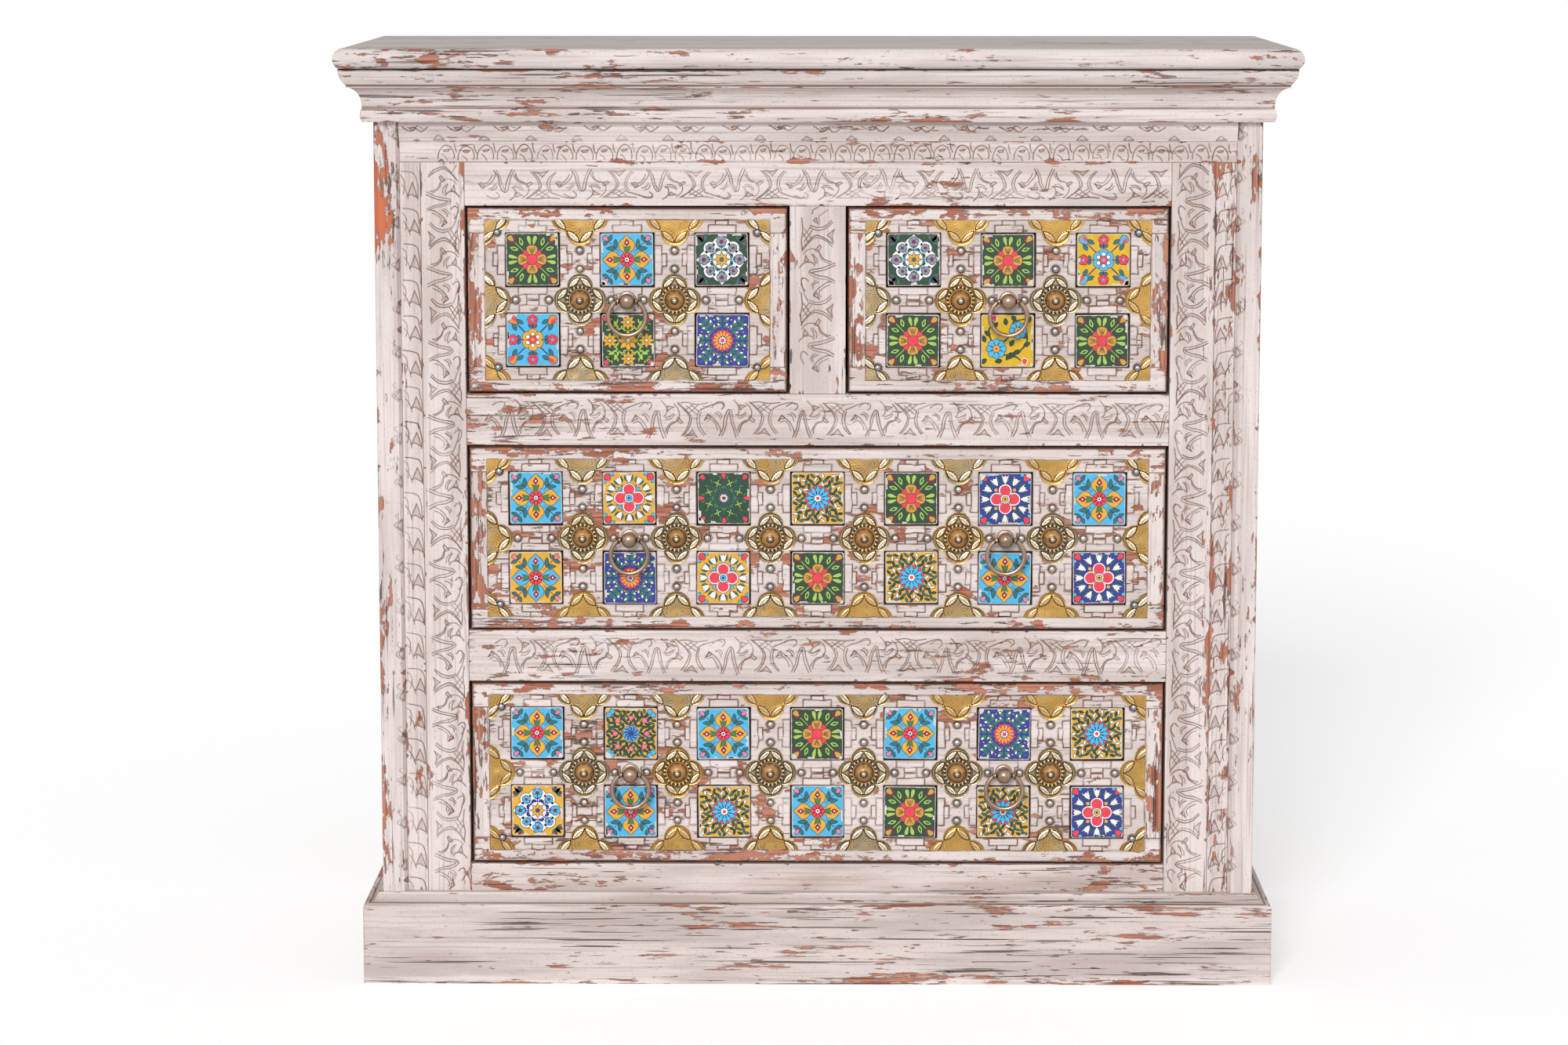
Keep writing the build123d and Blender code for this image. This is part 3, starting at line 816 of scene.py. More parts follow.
@dataclass(frozen=True)
class BoardPlace:
    """Where a board stands: how its grid turns into space, and its thickness.

    The face looks along -Y unless side is set, when it looks along -X or +X. A board runs along X or Z.
    """

    face: float
    back: float
    upright: bool = False
    side: int = 0
    bevel: Optional[Sequence[Point]] = None

    def _spread(self, run: Array, across: Array, depth: Array) -> Array:
        """Places grid points in space.

        Args:
            run: coordinates along the board.
            across: coordinates across it.
            depth: how far each point lies under the face.

        Returns:
            The points, one row each.
        """
        if self.bevel is not None:
            depth = depth + np.interp(across, *np.array(self.bevel).T)
        if self.side:
            return np.stack([self.face - self.side * depth, across, run], -1)
        level = self.face + depth
        return np.stack([across, level, run] if self.upright else [run, level, across], -1)

    def solid(self, relief: Relief, maker: Optional[MeshMaker] = None) -> MeshMaker:
        """Builds a whole board: carved face, four sides and back.

        Args:
            relief: the carved face.
            maker: the piece to add it to, if it isn't a piece of its own.

        Returns:
            The piece.
        """
        maker = maker or MeshMaker("wash", "worn")
        rows, columns = relief.depth.shape
        run, across = np.meshgrid(relief.run, relief.across)
        face = self._spread(run.ravel(), across.ravel(), relief.depth.ravel())
        back = self._spread(relief.run[[0, -1, -1, 0]], relief.across[[0, 0, -1, -1]], np.zeros(4))
        back[:, 0 if self.side else 1] = self.back
        quads = grid_quads(rows, columns)
        number = np.arange(rows * columns).reshape(rows, columns)
        a, b, c, d = rows * columns + np.arange(4)
        sides = [[a, b, *number[0, ::-1]], [*number[-1], c, d], [*number[:, 0], d, a]]
        sides += [[b, c, *number[::-1, -1]], [a, d, c, b]]
        if self.upright or self.side > 0:
            quads, sides = quads[:, ::-1], [loop[::-1] for loop in sides]
        wash, worn = (np.concatenate([v.ravel(), np.zeros(4)]) for v in (relief.wash, relief.worn))
        upright = float(relief.has_upright_grain)
        maker.add(np.vstack([face, back]), quads, sides, wash=wash, worn=worn, upright=upright)
        return maker


# ---------------------------------------------------------------- carving


@dataclass(frozen=True)
class Stroke:
    """A carved line, in millimetres from the middle of its motif."""

    points: tuple[Point, ...]
    width: float = 1.35
    depth: float = 0.9


@dataclass(frozen=True)
class Chip:
    """A small carved recess, in millimetres from the middle of its motif."""

    points: tuple[Point, ...]
    depth: float = 0.7


ARCH = (
    Stroke(((-9.5, -16.7), (-5.8, -8.7), (-4.4, 0.0), (-1.8, 7.0), (0.2, 9.2))),
    Stroke(((-7.1, -16.9), (-3.6, -8.5), (-2.2, 0.0), (0.2, 6.3))),
    Stroke(((0.9, 7.6), (2.4, -2.9), (4.4, -10.2), (7.3, -17.5))),
    Stroke(((0.2, 9.2), (3.0, 7.3), (4.7, -2.9), (6.8, -10.0), (9.5, -16.6))),
)
HOURGLASS = (
    Stroke(((-15.3, 16.7), (-8.0, 10.5), (-3.6, 4.4), (-2.9, 0.0), (-5.8, -8.0), (-10.9, -14.5))),
    Stroke(((-13.0, 15.6), (-5.8, 9.6), (-1.5, 4.2), (-0.9, -0.4), (-3.6, -8.0), (-8.6, -14.8))),
    Stroke(((6.5, 8.7), (4.4, 1.0), (6.0, -7.3), (11.6, -14.5))),
    Stroke(((8.6, 8.2), (6.6, 1.0), (8.2, -6.9), (13.3, -13.6))),
    Stroke(((7.5, 9.6), (13.5, 12.4), (20.0, 14.8), (27.5, 16.4), (30.5, 14.2))),
    Stroke(((-14.5, 15.8), (-5.0, 16.6), (4.0, 15.2), (15.5, 16.4))),
    Stroke(((-6.5, 14.0), (4.4, 5.8)), 1.1),
    Stroke(((-1.5, 15.0), (6.8, 8.0)), 1.1),
    Stroke(((6.2, 14.6), (-4.4, 6.0)), 1.1),
    Stroke(((1.2, 15.2), (-7.4, 9.6)), 1.1),
    Chip(((0.0, -8.6), (-2.8, -12.0), (-7.6, -15.2), (-0.5, -13.9), (5.8, -16.2), (2.2, -12.0))),
)
LEAF_AFTER_ARCH = (
    Stroke(((5.0, 18.5), (9.0, 14.5), (10.4, 9.5), (9.4, 5.5), (7.0, 3.4)), 1.5),
    Chip(((10.3, 14.2), (17.6, 12.8), (13.5, 10.6), (11.6, 8.6))),
    Stroke(((8.7, 2.9), (13.0, 3.6), (17.4, 6.6))),
    Stroke(((9.0, 0.9), (13.5, 1.2), (17.6, 5.2)), 1.1),
    Stroke(((17.2, 15.6), (21.6, 10.4), (22.6, 4.0), (20.2, -0.8), (14.5, -2.2), (10.4, -7.0), (8.6, -11.5))),
    Chip(((20.8, 3.4), (26.4, -1.6), (24.2, -3.2), (19.6, -0.4))),
    Stroke(((19.0, -1.8), (14.2, -4.0), (11.4, -8.5), (10.6, -13.0)), 1.7, 0.8),
)
LEAF_BEFORE_ARCH = (
    Stroke(
        ((-24.0, -1.2), (-21.4, 2.8), (-20.0, 4.6), (-16.0, 1.5), (-12.4, -2.2), (-8.6, -8.7), (-8.0, -13.4))
    ),
    Chip(((-24.2, -1.2), (-20.4, 5.0), (-17.8, 1.15), (-21.2, 0.4))),
    Stroke(((-14.2, 5.4), (-10.5, 4.2), (-8.0, -0.6)), 1.5),
    Stroke(((-12.0, 7.2), (-8.4, 5.2), (-6.6, 1.6)), 1.15),
    Stroke(((-16.5, 13.0), (-11.0, 16.4), (-5.6, 16.2), (-4.6, 12.6), (-7.5, 9.6))),
    Stroke(((-22.0, -2.4), (-17.5, -0.9), (-13.5, -5.0), (-11.0, -11.0)), 1.15),
)
ANVIL = (
    Chip(((1.5, 3.3), (-5.0, 0.8), (-11.6, -2.2), (-9.6, 1.8), (-13.4, 8.2), (-6.0, 6.4)), 0.8),
    Stroke(((11.5, -7.8), (10.6, 0.5), (8.2, 5.5), (2.0, 7.4), (-6.0, 8.7), (-15.0, 8.9))),
    Stroke(((7.5, -8.8), (4.0, -5.5), (-3.0, -4.5), (-9.5, -5.6)), 1.1),
    Stroke(((-1.0, -7.2), (-6.5, -3.4), (-14.5, -1.0)), 1.15),
)
SCALLOP = (
    Stroke(((-8.2, -7.6), (-7.4, -1.0), (-3.4, 4.8), (1.2, 5.6), (5.4, 2.2), (7.2, -4.0), (6.6, -7.4))),
    Chip(((-3.6, 1.15), (3.2, 2.4), (1.6, 0.0), (-1.8, -0.6))),
    Stroke(((7.4, 7.2), (8.2, 2.0), (9.6, -1.0)), 1.5),
    Stroke(((-4.4, -3.0), (-1.0, -5.6), (0.6, -8.4)), 1.1),
)
TOOTH = (Chip(((-5.2, -0.4), (-0.6, 5.0), (1.0, 4.4), (5.6, -0.4)), -1.1),)
NOTCH = (
    Chip(((-5.0, -0.4), (-0.8, 4.2), (1.2, 3.4), (5.4, -0.4)), -1.2),
    Stroke(((-6.0, 0.8), (-2.6, 4.6), (0.2, 6.6), (3.0, 4.0), (6.4, 0.6)), 1.5, 0.8),
    Stroke(((6.0, 3.0), (9.5, 5.8), (12.0, 3.6)), 1.3, 0.7),
)
BIRD = (
    Stroke(((-13.5, 2.6), (-10.0, 0.4), (-5.5, -1.6), (-2.0, -0.6), (0.0, 1.8)), 1.8, 1.1),
    Stroke(((0.0, 1.8), (2.6, -1.4), (6.0, -2.2), (9.5, 0.2), (12.5, 2.0)), 1.7, 1.1),
    Stroke(((-8.0, 1.6), (-3.5, 1.0), (2.0, 2.8), (7.5, 0.8)), 1.2, 0.6),
    Chip(((-6.5, 0.8), (-3.0, 2.4), (0.4, 0.2), (-3.2, -1.4)), 0.8),
)


def moved(marks: Sequence[Stroke | Chip], shift: float) -> tuple[Stroke | Chip, ...]:
    """The same marks further along the board, by a shift in millimetres."""
    return tuple(replace(mark, points=tuple((x + shift, z) for x, z in mark.points)) for mark in marks)


HALF_VINE = 35.3
VINE = (*ARCH, *LEAF_AFTER_ARCH, *LEAF_BEFORE_ARCH, *moved(HOURGLASS, HALF_VINE))


@dataclass(frozen=True)
class Motif:
    """Carved marks that repeat along a board, each time a little differently."""

    marks: tuple[Stroke | Chip, ...]
    period: float
    squeeze: float = 1.0
    stretch: float = 1.0
    waver: float = 0.35 * MM
    wash: float = 1.0

    def carve(self, relief: Relief, middle: float, rng: Rng, start: float, is_flipped: bool = False) -> None:
        """Carves the motif from one end of the board to the other.

        Args:
            relief: the board's face.
            middle: the line across the board on which the motif is centred.
            rng: the random source.
            start: how far along the board the first motif is set.
            is_flipped: turns the motif upside down across the board.
        """
        low, high = relief.run[0], relief.run[-1]
        turn = np.array([1.0, -1.0 if is_flipped else 1.0])
        for at in np.arange(low + start, high + 0.6 * self.period, self.period):
            size = np.array([self.stretch, self.squeeze]) * rng.uniform(0.95, 1.05, 2) * turn * MM
            place = np.array([at, middle]) + rng.uniform(-1.1, 1.1, 2) * self.waver * 2
            for mark in self.marks:
                shape = np.array(mark.points) * size + place
                shape = shape + rng.uniform(-1, 1, shape.shape) * self.waver
                if shape[:, 0].min() < low + MM or shape[:, 0].max() > high - MM:
                    continue
                shape[:, 1] = np.clip(shape[:, 1], relief.across[0] + MM, relief.across[-1] - MM)
                depth = mark.depth * rng.uniform(0.8, 1.2) * MM
                wash = self.wash * rng.uniform(0.75, 1.0)
                if isinstance(mark, Stroke):
                    width = mark.width * rng.uniform(0.85, 1.15) * MM
                    relief.groove(curve_through(shape), width, depth, wash)
                else:
                    relief.chip(shape, depth, 0.35 * wash)


# ---------------------------------------------------------------- case


@dataclass
class CarvedFrame:
    """Face frame round the drawers: carved stiles and rails, with narrow border strips outside them."""

    cell: float = 0.6 * MM
    plain_cell: float = 1.4 * MM
    edge_round: float = 0.5 * MM
    nick_pitch: float = 50 * MM
    marks: float = 0.07 * MM
    rail_paint: DistressedPaint = DistressedPaint(
        "whitewash_rails", GrainAxis.ALONG_X, 0.26, 0.3, 0.31, light="E4D7D4", shade="CCBDB8"
    )
    stile_paint: DistressedPaint = DistressedPaint(
        "whitewash_stiles", GrainAxis.ALONG_Z, 0.23, 0.28, 0.77, light="E4D7D4", shade="CCBDB8"
    )
    low_rail_paint: DistressedPaint = DistressedPaint(
        "whitewash_low_rail", GrainAxis.ALONG_X, 0.4, 0.95, 1.13, light="DFD1CC", shade="BDADA7"
    )
    vine: tuple[Motif, float] = (Motif(VINE, 2 * HALF_VINE * MM), 41.4 * MM)
    top_vine: tuple[Motif, float] = (Motif(VINE, 74 * MM, 0.84, 1.04), 38 * MM)
    stile_vine: tuple[Motif, float] = (Motif(VINE, 72 * MM, 0.92, 1.02), 45 * MM)
    anvils: tuple[Motif, float] = (Motif(ANVIL, 34.5 * MM), 20 * MM)
    scallops: tuple[Motif, float] = (Motif(SCALLOP, 19 * MM), 45 * MM)

    def _board(
        self,
        name: str,
        paint: Material,
        carving: Optional[tuple[Motif, float]],
        is_flipped: bool = False,
        upright: bool = False,
        box: Optional[tuple[Place, Place]] = None,
    ) -> None:
        """Carves, wears and settles one board.

        Args:
            name: the piece's name, which seeds its marks.
            paint: its finish.
            carving: a motif, and how far along the board its first one is set.
            is_flipped: turns the motif upside down.
            upright: whether the board runs up.
            box: the corners of a border strip; any other board fills the node of its name.
        """
        low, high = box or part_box(name)
        along, over = (2, 0) if upright else (0, 2)
        cell = self.cell if carving else self.plain_cell
        rounding = (0.3 * MM, 0.7 * MM)
        over_lines = [low[over] + r for r in rounding] + [high[over] - r for r in rounding]
        across = grid_lines(low[over], high[over], cell, over_lines)
        relief = Relief(grid_lines(low[along], high[along], cell), across)
        rng = dice(name)
        if carving:
            motif, start = carving
            motif.carve(relief, (low[over] + high[over]) / 2, rng, start, is_flipped)
        else:
            relief.worn += 0.2
        relief.soften_edges(self.edge_round, 0.5, 0.6)
        relief.nicks(int((relief.run[-1] - relief.run[0]) / self.nick_pitch), rng)
        relief.tool_marks(rng, self.marks)
        maker = BoardPlace(low[1], high[1], upright).solid(relief)
        if box:
            maker.settle(name, paint, "case", "painted_wood", "border_strips")
        else:
            maker.settle_on_case(name, paint)

    def build(self) -> None:
        """Makes every board of the frame."""
        rails, stiles = self.rail_paint.material(), self.stile_paint.material()
        self._board("carved_rail_upper", rails, self.vine)
        self._board("carved_rail_lower", rails, self.vine)
        self._board("carved_top_rail", rails, self.top_vine, True)
        self._board("carved_stile_left", stiles, self.stile_vine, False, True)
        self._board("carved_stile_right", stiles, self.stile_vine, True, True)
        self._board("centre_divider", stiles, self.stile_vine, True, True)
        low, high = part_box("border_strips")
        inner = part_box("carved_stile_right")[1]
        for side, name in ((-1, "border_strip_left"), (1, "border_strip_right")):
            near, far = sorted((side * inner.x, side * high.x))
            box = (near, low.y, low.z), (far, high.y, inner.z)
            self._board(name, stiles, self.anvils, side > 0, True, box)
        self._board("border_strip_top", rails, self.scallops, box=((low.x, low.y, inner.z), high))
        self._board("bottom_rail", self.low_rail_paint.material(), None)


@dataclass
class OuterFrame:
    """Corner stiles and frieze rail that stand proud of the carved frame, bevelled on their inner edge."""

    cell: float = 0.9 * MM
    bevel_height: float = 12 * MM
    bevel_width: float = 3 * MM
    recess: float = 6 * MM
    edge_round: float = 1.2 * MM
    bird_period: float = 44 * MM
    frieze_paint: DistressedPaint = DistressedPaint("whitewash_frieze", GrainAxis.ALONG_X, 0.2, 0.35, 0.52)
    right_paint: DistressedPaint = DistressedPaint("whitewash_corner", GrainAxis.ALONG_Z, 0.42, 0.5, 0.12)
    left_paint: DistressedPaint = DistressedPaint(
        "whitewash_corner_bare", GrainAxis.ALONG_Z, 0.35, 0.4, 0.45,
        bare_patch=((-0.45, -0.2, 0.70), (-0.404, -0.1, 0.80)),
    )

    def build(self) -> None:
        """Makes the frieze rail and both corner stiles."""
        low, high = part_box("frieze_rail")
        edge = low.z + self.bevel_height
        rng = dice("frieze_rail")
        across = grid_lines(low.z, high.z, self.cell, [edge, edge + MM])
        relief = Relief(grid_lines(low.x, high.x, self.cell), across)
        Motif(BIRD, self.bird_period, 1.1).carve(relief, edge, rng, 16 * MM)
        Motif(TOOTH, self.bird_period, 1.1, wash=0.7).carve(relief, low.z, rng, 38 * MM)
        relief.tool_marks(rng, 0.07 * MM)
        relief.rub(0.4 * bell(across[:, None] - edge, 2 * MM))
        bevel = ((low.z, self.recess), (edge, 0.0))
        maker = BoardPlace(low.y, high.y, bevel=bevel).solid(relief)
        maker.settle_on_case("frieze_rail", self.frieze_paint.material(), 50)
        self._stile("corner_stile_left", -1, self.left_paint)
        self._stile("corner_stile_right", 1, self.right_paint)

    def _stile(self, name: str, side: int, paint: DistressedPaint) -> None:
        """Makes one corner stile.

        Args:
            name: the piece's name.
            side: -1 on the left, 1 on the right.
            paint: its finish.
        """
        low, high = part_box(name)
        inner = low.x if side > 0 else high.x
        crest = inner + side * self.bevel_width
        rng = dice(name)
        relief = Relief(grid_lines(low.z, high.z, self.cell), grid_lines(low.x, high.x, self.cell, [crest]))
        Motif(NOTCH, 42 * MM, 1.25, wash=0.75).carve(relief, inner, rng, 30 * MM, side < 0)
        outer = np.abs(relief.across[:, None] - (high.x if side > 0 else low.x))
        relief.depth += round_over(outer, self.edge_round)
        relief.rub(0.55 * fade(outer, 3 * MM))
        relief.nicks(20, rng, 5 * MM)
        relief.tool_marks(rng, 0.1 * MM)
        bevel = sorted(((inner, self.recess), (crest, 0.0)))
        maker = BoardPlace(low.y, high.y, True, bevel=bevel).solid(relief)
        maker.settle_on_case(name, paint.material(), 50)


@dataclass
class Carcass:
    """Side boards of the case, and the boards and runners inside it."""

    planks: int = 3
    cell: float = 3.2 * MM
    joint_width: float = 1.6 * MM
    joint_depth: float = 0.9 * MM
    edge_round: float = 1.5 * MM
    paint: DistressedPaint = DistressedPaint("whitewash_sides", GrainAxis.ALONG_Z, 0.34, 0.55, 0.93)

    def build(self) -> None:
        """Makes the side boards and dresses the bare boards inside."""
        paint = self.paint.material()
        for side, name in ((-1, "side_panel_left"), (1, "side_panel_right")):
            low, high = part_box(name)
            rng = dice(name)
            depth = (high.y - low.y) / self.planks
            joints = [low.y + depth * i for i in range(1, self.planks)]
            steps = np.array([-1.2, -0.6, 0, 0.6, 1.2]) * self.joint_width / 2
            across = grid_lines(low.y, high.y, self.cell, [j + s for j in joints for s in steps])
            relief = Relief(grid_lines(low.z, high.z, self.cell), across)
            relief.tool_marks(rng, 0.12 * MM)
            for joint in joints:
                line = np.array([(low.z, joint), (high.z, joint)])
                relief.groove(line, self.joint_width, self.joint_depth, 0.8)
                relief.rub(0.5 * bell(across[:, None] - joint, 5 * MM))
            relief.soften_edges(self.edge_round, 0.6, 0.9)
            face, back = (low.x, high.x) if side < 0 else (high.x, low.x)
            BoardPlace(face, back, side=side).solid(relief).settle_on_case(name, paint)
        back = BareWood("bare_wood_back", GrainAxis.ALONG_Z, "A98662", "7A5A40")
        keep_as_built("back_panel", back.material())
        keep_as_built("bottom_board", BareWood("bare_wood_lengthwise", GrainAxis.ALONG_X).material())
        keep_as_built("runners_and_kickers", BareWood("bare_wood_depthwise", GrainAxis.ALONG_Y).material())


def arc_points(start: Point, middle: Point, end: Point, steps: int) -> list[Point]:
    """Points along a soft bow through three points.

    Args:
        start: the first point.
        middle: a point on the bow.
        end: the last point.
        steps: how many pieces.

    Returns:
        The points, without the last.
    """
    t = np.linspace(0, 1, steps, endpoint=False)[:, None]
    a, b, c = (np.array(p) for p in (start, middle, end))
    control = 2 * b - (a + c) / 2
    line = (1 - t) ** 2 * a + 2 * t * (1 - t) * control + t**2 * c
    return [tuple(p) for p in line]


@dataclass
class Moulding:
    """Mitred moulding round front and sides. Its section is (reach from the case, height over its foot)."""

    section: Sequence[Point]
    foot: float
    case_half: float
    face_y: float
    back_y: float
    step: float = 4 * MM
    waver: float = 0.25 * MM

    def _wear(self) -> tuple[Array, Array]:
        """How sharply the section turns outward and inward at each of its points.

        Returns:
            Wear, highest on the outward turns, and a painted shade in the inward turns, carried as wash; each
            from 0 to 1, one for each point.
        """
        points = np.array(self.section)
        before, after = points - np.roll(points, 1, 0), np.roll(points, -1, 0) - points
        turn = before[:, 0] * after[:, 1] - before[:, 1] * after[:, 0]
        turn /= np.hypot(*before.T) * np.hypot(*after.T) + 1e-12
        shown = points[:, 0] > MM
        return (0.15 + np.clip(turn * 1.3, 0, 0.85)) * shown, np.clip(-turn * 1.5, 0, 1) * shown

    def sweep(self, maker: MeshMaker, side: int, rng: Rng) -> None:
        """Adds one length.

        Args:
            maker: the piece.
            side: 0 for the front, -1 and 1 for the left and right returns.
            rng: the random source.
        """
        reach, height = np.array(self.section).T
        length = 2 * self.case_half if side == 0 else self.back_y - self.face_y
        share = np.linspace(0, 1, max(2, round(length / self.step)))
        order = np.arange(len(reach)) * 1.0
        broad = soft_noise(share * length, order, (60 * MM, 3.0), rng).T
        fine = soft_noise(share * length, order, (14 * MM, 1.5), rng).T
        out = reach - self.waver * (1 + 0.6 * broad + 0.4 * fine) * (reach > MM)
        share = share[:, None]
        if side == 0:
            x, y = (2 * share - 1) * (self.case_half + reach), self.face_y - out
        else:
            start = self.face_y - reach
            x, y = side * (self.case_half + out), start + share * (self.back_y - start)
        rings = np.stack([x, y, np.broadcast_to(self.foot + height, x.shape)], -1)
        # crease: a painted shade in the section's inward turns, carried as wash.
        wear, crease = (np.broadcast_to(v, x.shape) for v in self._wear())
        worn = wear * (0.7 + 0.6 * broad)
        maker.tube(rings, side >= 0, wash=crease.ravel(), worn=worn.ravel())


@dataclass
class Crown:
    """Top board with a bullnose, and the cornice moulding under it."""

    nose_steps: int = 10
    edge_step: float = 5 * MM
    bead: Point = (11.5 * MM, 13 * MM)
    cove: Point = (21 * MM, 33 * MM)
    reach: float = 30 * MM
    height: float = 50 * MM
    lip: float = 2 * MM
    # The top's own tones are greyer than the other whitewash: a painted shade of the flat top, which takes
    # less light than the front; the worn nose keeps the usual whites.
    top_paint: DistressedPaint = DistressedPaint(
        "whitewash_top", GrainAxis.ALONG_X, 0.26, 0.38, 0.21, light="C8C1BE", shade="BBB3B0"
    )
    cornice_paint: DistressedPaint = DistressedPaint(
        "whitewash_cornice", GrainAxis.ALONG_X, 0.45, 0.85, 0.64, drawn_out=0.2
    )
    return_paint: DistressedPaint = DistressedPaint(
        "whitewash_returns", GrainAxis.ALONG_Y, 0.45, 0.7, 0.38, drawn_out=0.2
    )

    def _section(self) -> list[Point]:
        """The cornice's section, from the case along its foot and up its face.

        Returns:
            Closed outline points.
        """
        back, top = self.bead[0] - self.lip, (self.reach, self.height)
        ovolo = (self.cove[0] + self.lip, self.cove[1] + self.lip)
        cove_middle = (back + 0.25 * (self.cove[0] - back), 26 * MM)
        ovolo_middle = (ovolo[0] + 0.75 * (self.reach - ovolo[0]), 42 * MM)
        bead_middle = (self.bead[0], self.bead[1] / 2)
        line = [(0.0, 0.0), *arc_points((back, 0.0), bead_middle, (back, self.bead[1]), 7)]
        line += arc_points((back, self.bead[1]), cove_middle, self.cove, 9)
        line += [self.cove, (ovolo[0], self.cove[1]), *arc_points(ovolo, ovolo_middle, top, 8)]
        return [*line, top, (0.0, self.height)]

    def build(self) -> None:
        """Makes the top board and the three lengths of cornice."""
        low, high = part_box("cornice_front")
        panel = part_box("side_panel_right")[1]
        run = Moulding(self._section(), low.z, panel.x, high.y, panel.y)
        front, returns = self.cornice_paint.material(), self.return_paint.material()
        for side, name in ((0, "cornice_front"), (-1, "cornice_left"), (1, "cornice_right")):
            maker = MeshMaker("wash", "worn")
            run.sweep(maker, side, dice(name))
            maker.settle_on_case(name, returns if side else front, 40)
        self._top_board()

    def _top_board(self) -> None:
        """Makes the top board from rings that round its front and both ends."""
        low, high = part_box("top_board")
        radius, middle = (high.z - low.z) / 2, (low.z + high.z) / 2
        turns = np.linspace(-math.pi / 2, math.pi / 2, self.nose_steps + 1)
        width, depth = high.x - low.x, high.y - low.y
        across, along = round(width / self.edge_step), round(depth / self.edge_step)
        t_front, t_side = np.linspace(0, 1, across), np.linspace(0, 1, along)
        levels = [(0.35 * radius + e, low.z) for e in (12 * MM, 4 * MM, 0.0)]
        levels += [(radius * (1 - math.cos(a)) * 0.9, middle + radius * math.sin(a)) for a in turns]
        levels += [(radius * 0.9 + e, high.z) for e in (4 * MM, 12 * MM)]
        length = np.concatenate([t_side, t_front, t_side])
        line = np.linspace(0, 2 * width, len(length))
        wobble = soft_noise(line, np.arange(len(levels)) * 1.0, (50 * MM, 3.0), dice("top_board"))
        rings, wear = [], []
        for row, (inset, level) in enumerate(levels):
            x0, x1, y0, y1 = low.x + inset, high.x - inset, low.y + inset, high.y
            x = np.concatenate([np.full(along, x0), x0 + t_front * (x1 - x0), np.full(along, x1)])
            y = np.concatenate([y1 + t_side * (y0 - y1), np.full(across, y0), y0 + t_side * (y1 - y0)])
            fall = 0.25 * MM * (1 + wobble[row]) * (abs(level - middle) < 0.95 * radius)
            x = x + np.sign(-x) * fall * (np.abs(x) > abs(x0) - MM)
            y = y + fall * (y < y0 + MM)
            rings.append(np.stack([x, y, np.full_like(x, level)], -1))
            # Worn 0.1 on the flats gives them the top paint's greyer tones, a painted shade; the nose at 0.45
            # keeps the usual whites.
            wear.append(np.full(len(x), 0.45 if abs(level - middle) < 0.985 * radius else 0.1))
        maker = MeshMaker("wash", "worn")
        maker.tube(np.array(rings), worn=np.concatenate(wear))
        maker.settle_on_case("top_board", self.top_paint.material(), 30)


@dataclass
class Plinth:
    """Tall plinth boards with a ledge and a cove along their upper edge."""

    thickness: float = 18 * MM
    cove_height: float = 9 * MM
    ledge: float = 4 * MM
    nose: float = 3 * MM
    back_rail: float = 50 * MM
    front_paint: DistressedPaint = DistressedPaint(
        "whitewash_plinth", GrainAxis.ALONG_X, 0.26, 0.95, 0.83, None, "D8CBC7", "C0B1AC", 0.12
    )
    return_paint: DistressedPaint = DistressedPaint(
        "whitewash_plinth_ends", GrainAxis.ALONG_Y, 0.3, 0.8, 0.29, None, "D8CBC7", "C0B1AC", 0.2
    )

    def _section(self, top: float) -> list[Point]:
        """The boards' section, from the floor up their face.

        Args:
            top: how high they stand.

        Returns:
            Closed outline points.
        """
        shelf, thick = top - self.cove_height, self.thickness
        face = [(thick, h) for h in np.linspace(0, shelf - self.nose, 10)]
        edge, cove_top = (thick - self.nose, shelf), (self.ledge, top)
        nose = arc_points(face[-1], (thick - 0.8 * MM, shelf - 0.9 * MM), edge, 4)
        cove = arc_points((thick - 2 * self.nose, shelf), (thick - 10.5 * MM, top - 5.5 * MM), cove_top, 5)
        return [(0.0, 0.0), *face[:-1], *nose, edge, *cove, cove_top, (0.0, top)]

    def _block(self, maker: MeshMaker, low: Place, high: Place) -> None:
        """Adds a plain rectangular block.

        Args:
            maker: the piece.
            low: its lowest corner.
            high: its highest corner.
        """
        corners = np.array([(x, y, z) for z in (0, 1) for y in (0, 1) for x in (0, 1)], float)
        points = np.array(low) + corners * (np.array(high) - np.array(low))
        quads = [[0, 2, 3, 1], [4, 5, 7, 6], [0, 1, 5, 4], [2, 6, 7, 3], [0, 4, 6, 2], [1, 3, 7, 5]]
        maker.add(points, np.array(quads), worn=0.2, wash=0.1)

    def build(self) -> None:
        """Makes the plinth front, its two returns and the rail at the back."""
        low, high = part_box("plinth_front")
        panel_low, panel_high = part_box("side_panel_right")
        face_y, inner = low.y + self.thickness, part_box("corner_stile_left")[1].x
        run = Moulding(self._section(high.z), 0.0, panel_high.x, face_y, panel_high.y)
        front, returns = (MeshMaker("wash", "worn") for _ in range(2))
        run.sweep(front, 0, dice("plinth_front"))
        frame_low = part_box("bottom_rail")[0]
        self._block(front, (inner, face_y, frame_low.z), (-inner, frame_low.y, high.z))
        front.settle_on_case("plinth_front", self.front_paint.material(), 40)
        for side in (-1, 1):
            run.sweep(returns, side, dice(f"plinth_return_{side}"))
        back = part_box("back_panel")[0].y
        corner = (panel_low.x, back, self.back_rail)
        self._block(returns, (-panel_low.x, back - self.thickness, 0), corner)
        returns.settle_on_case("plinth_returns", self.return_paint.material(), 40)


# ---------------------------------------------------------------- drawer fronts


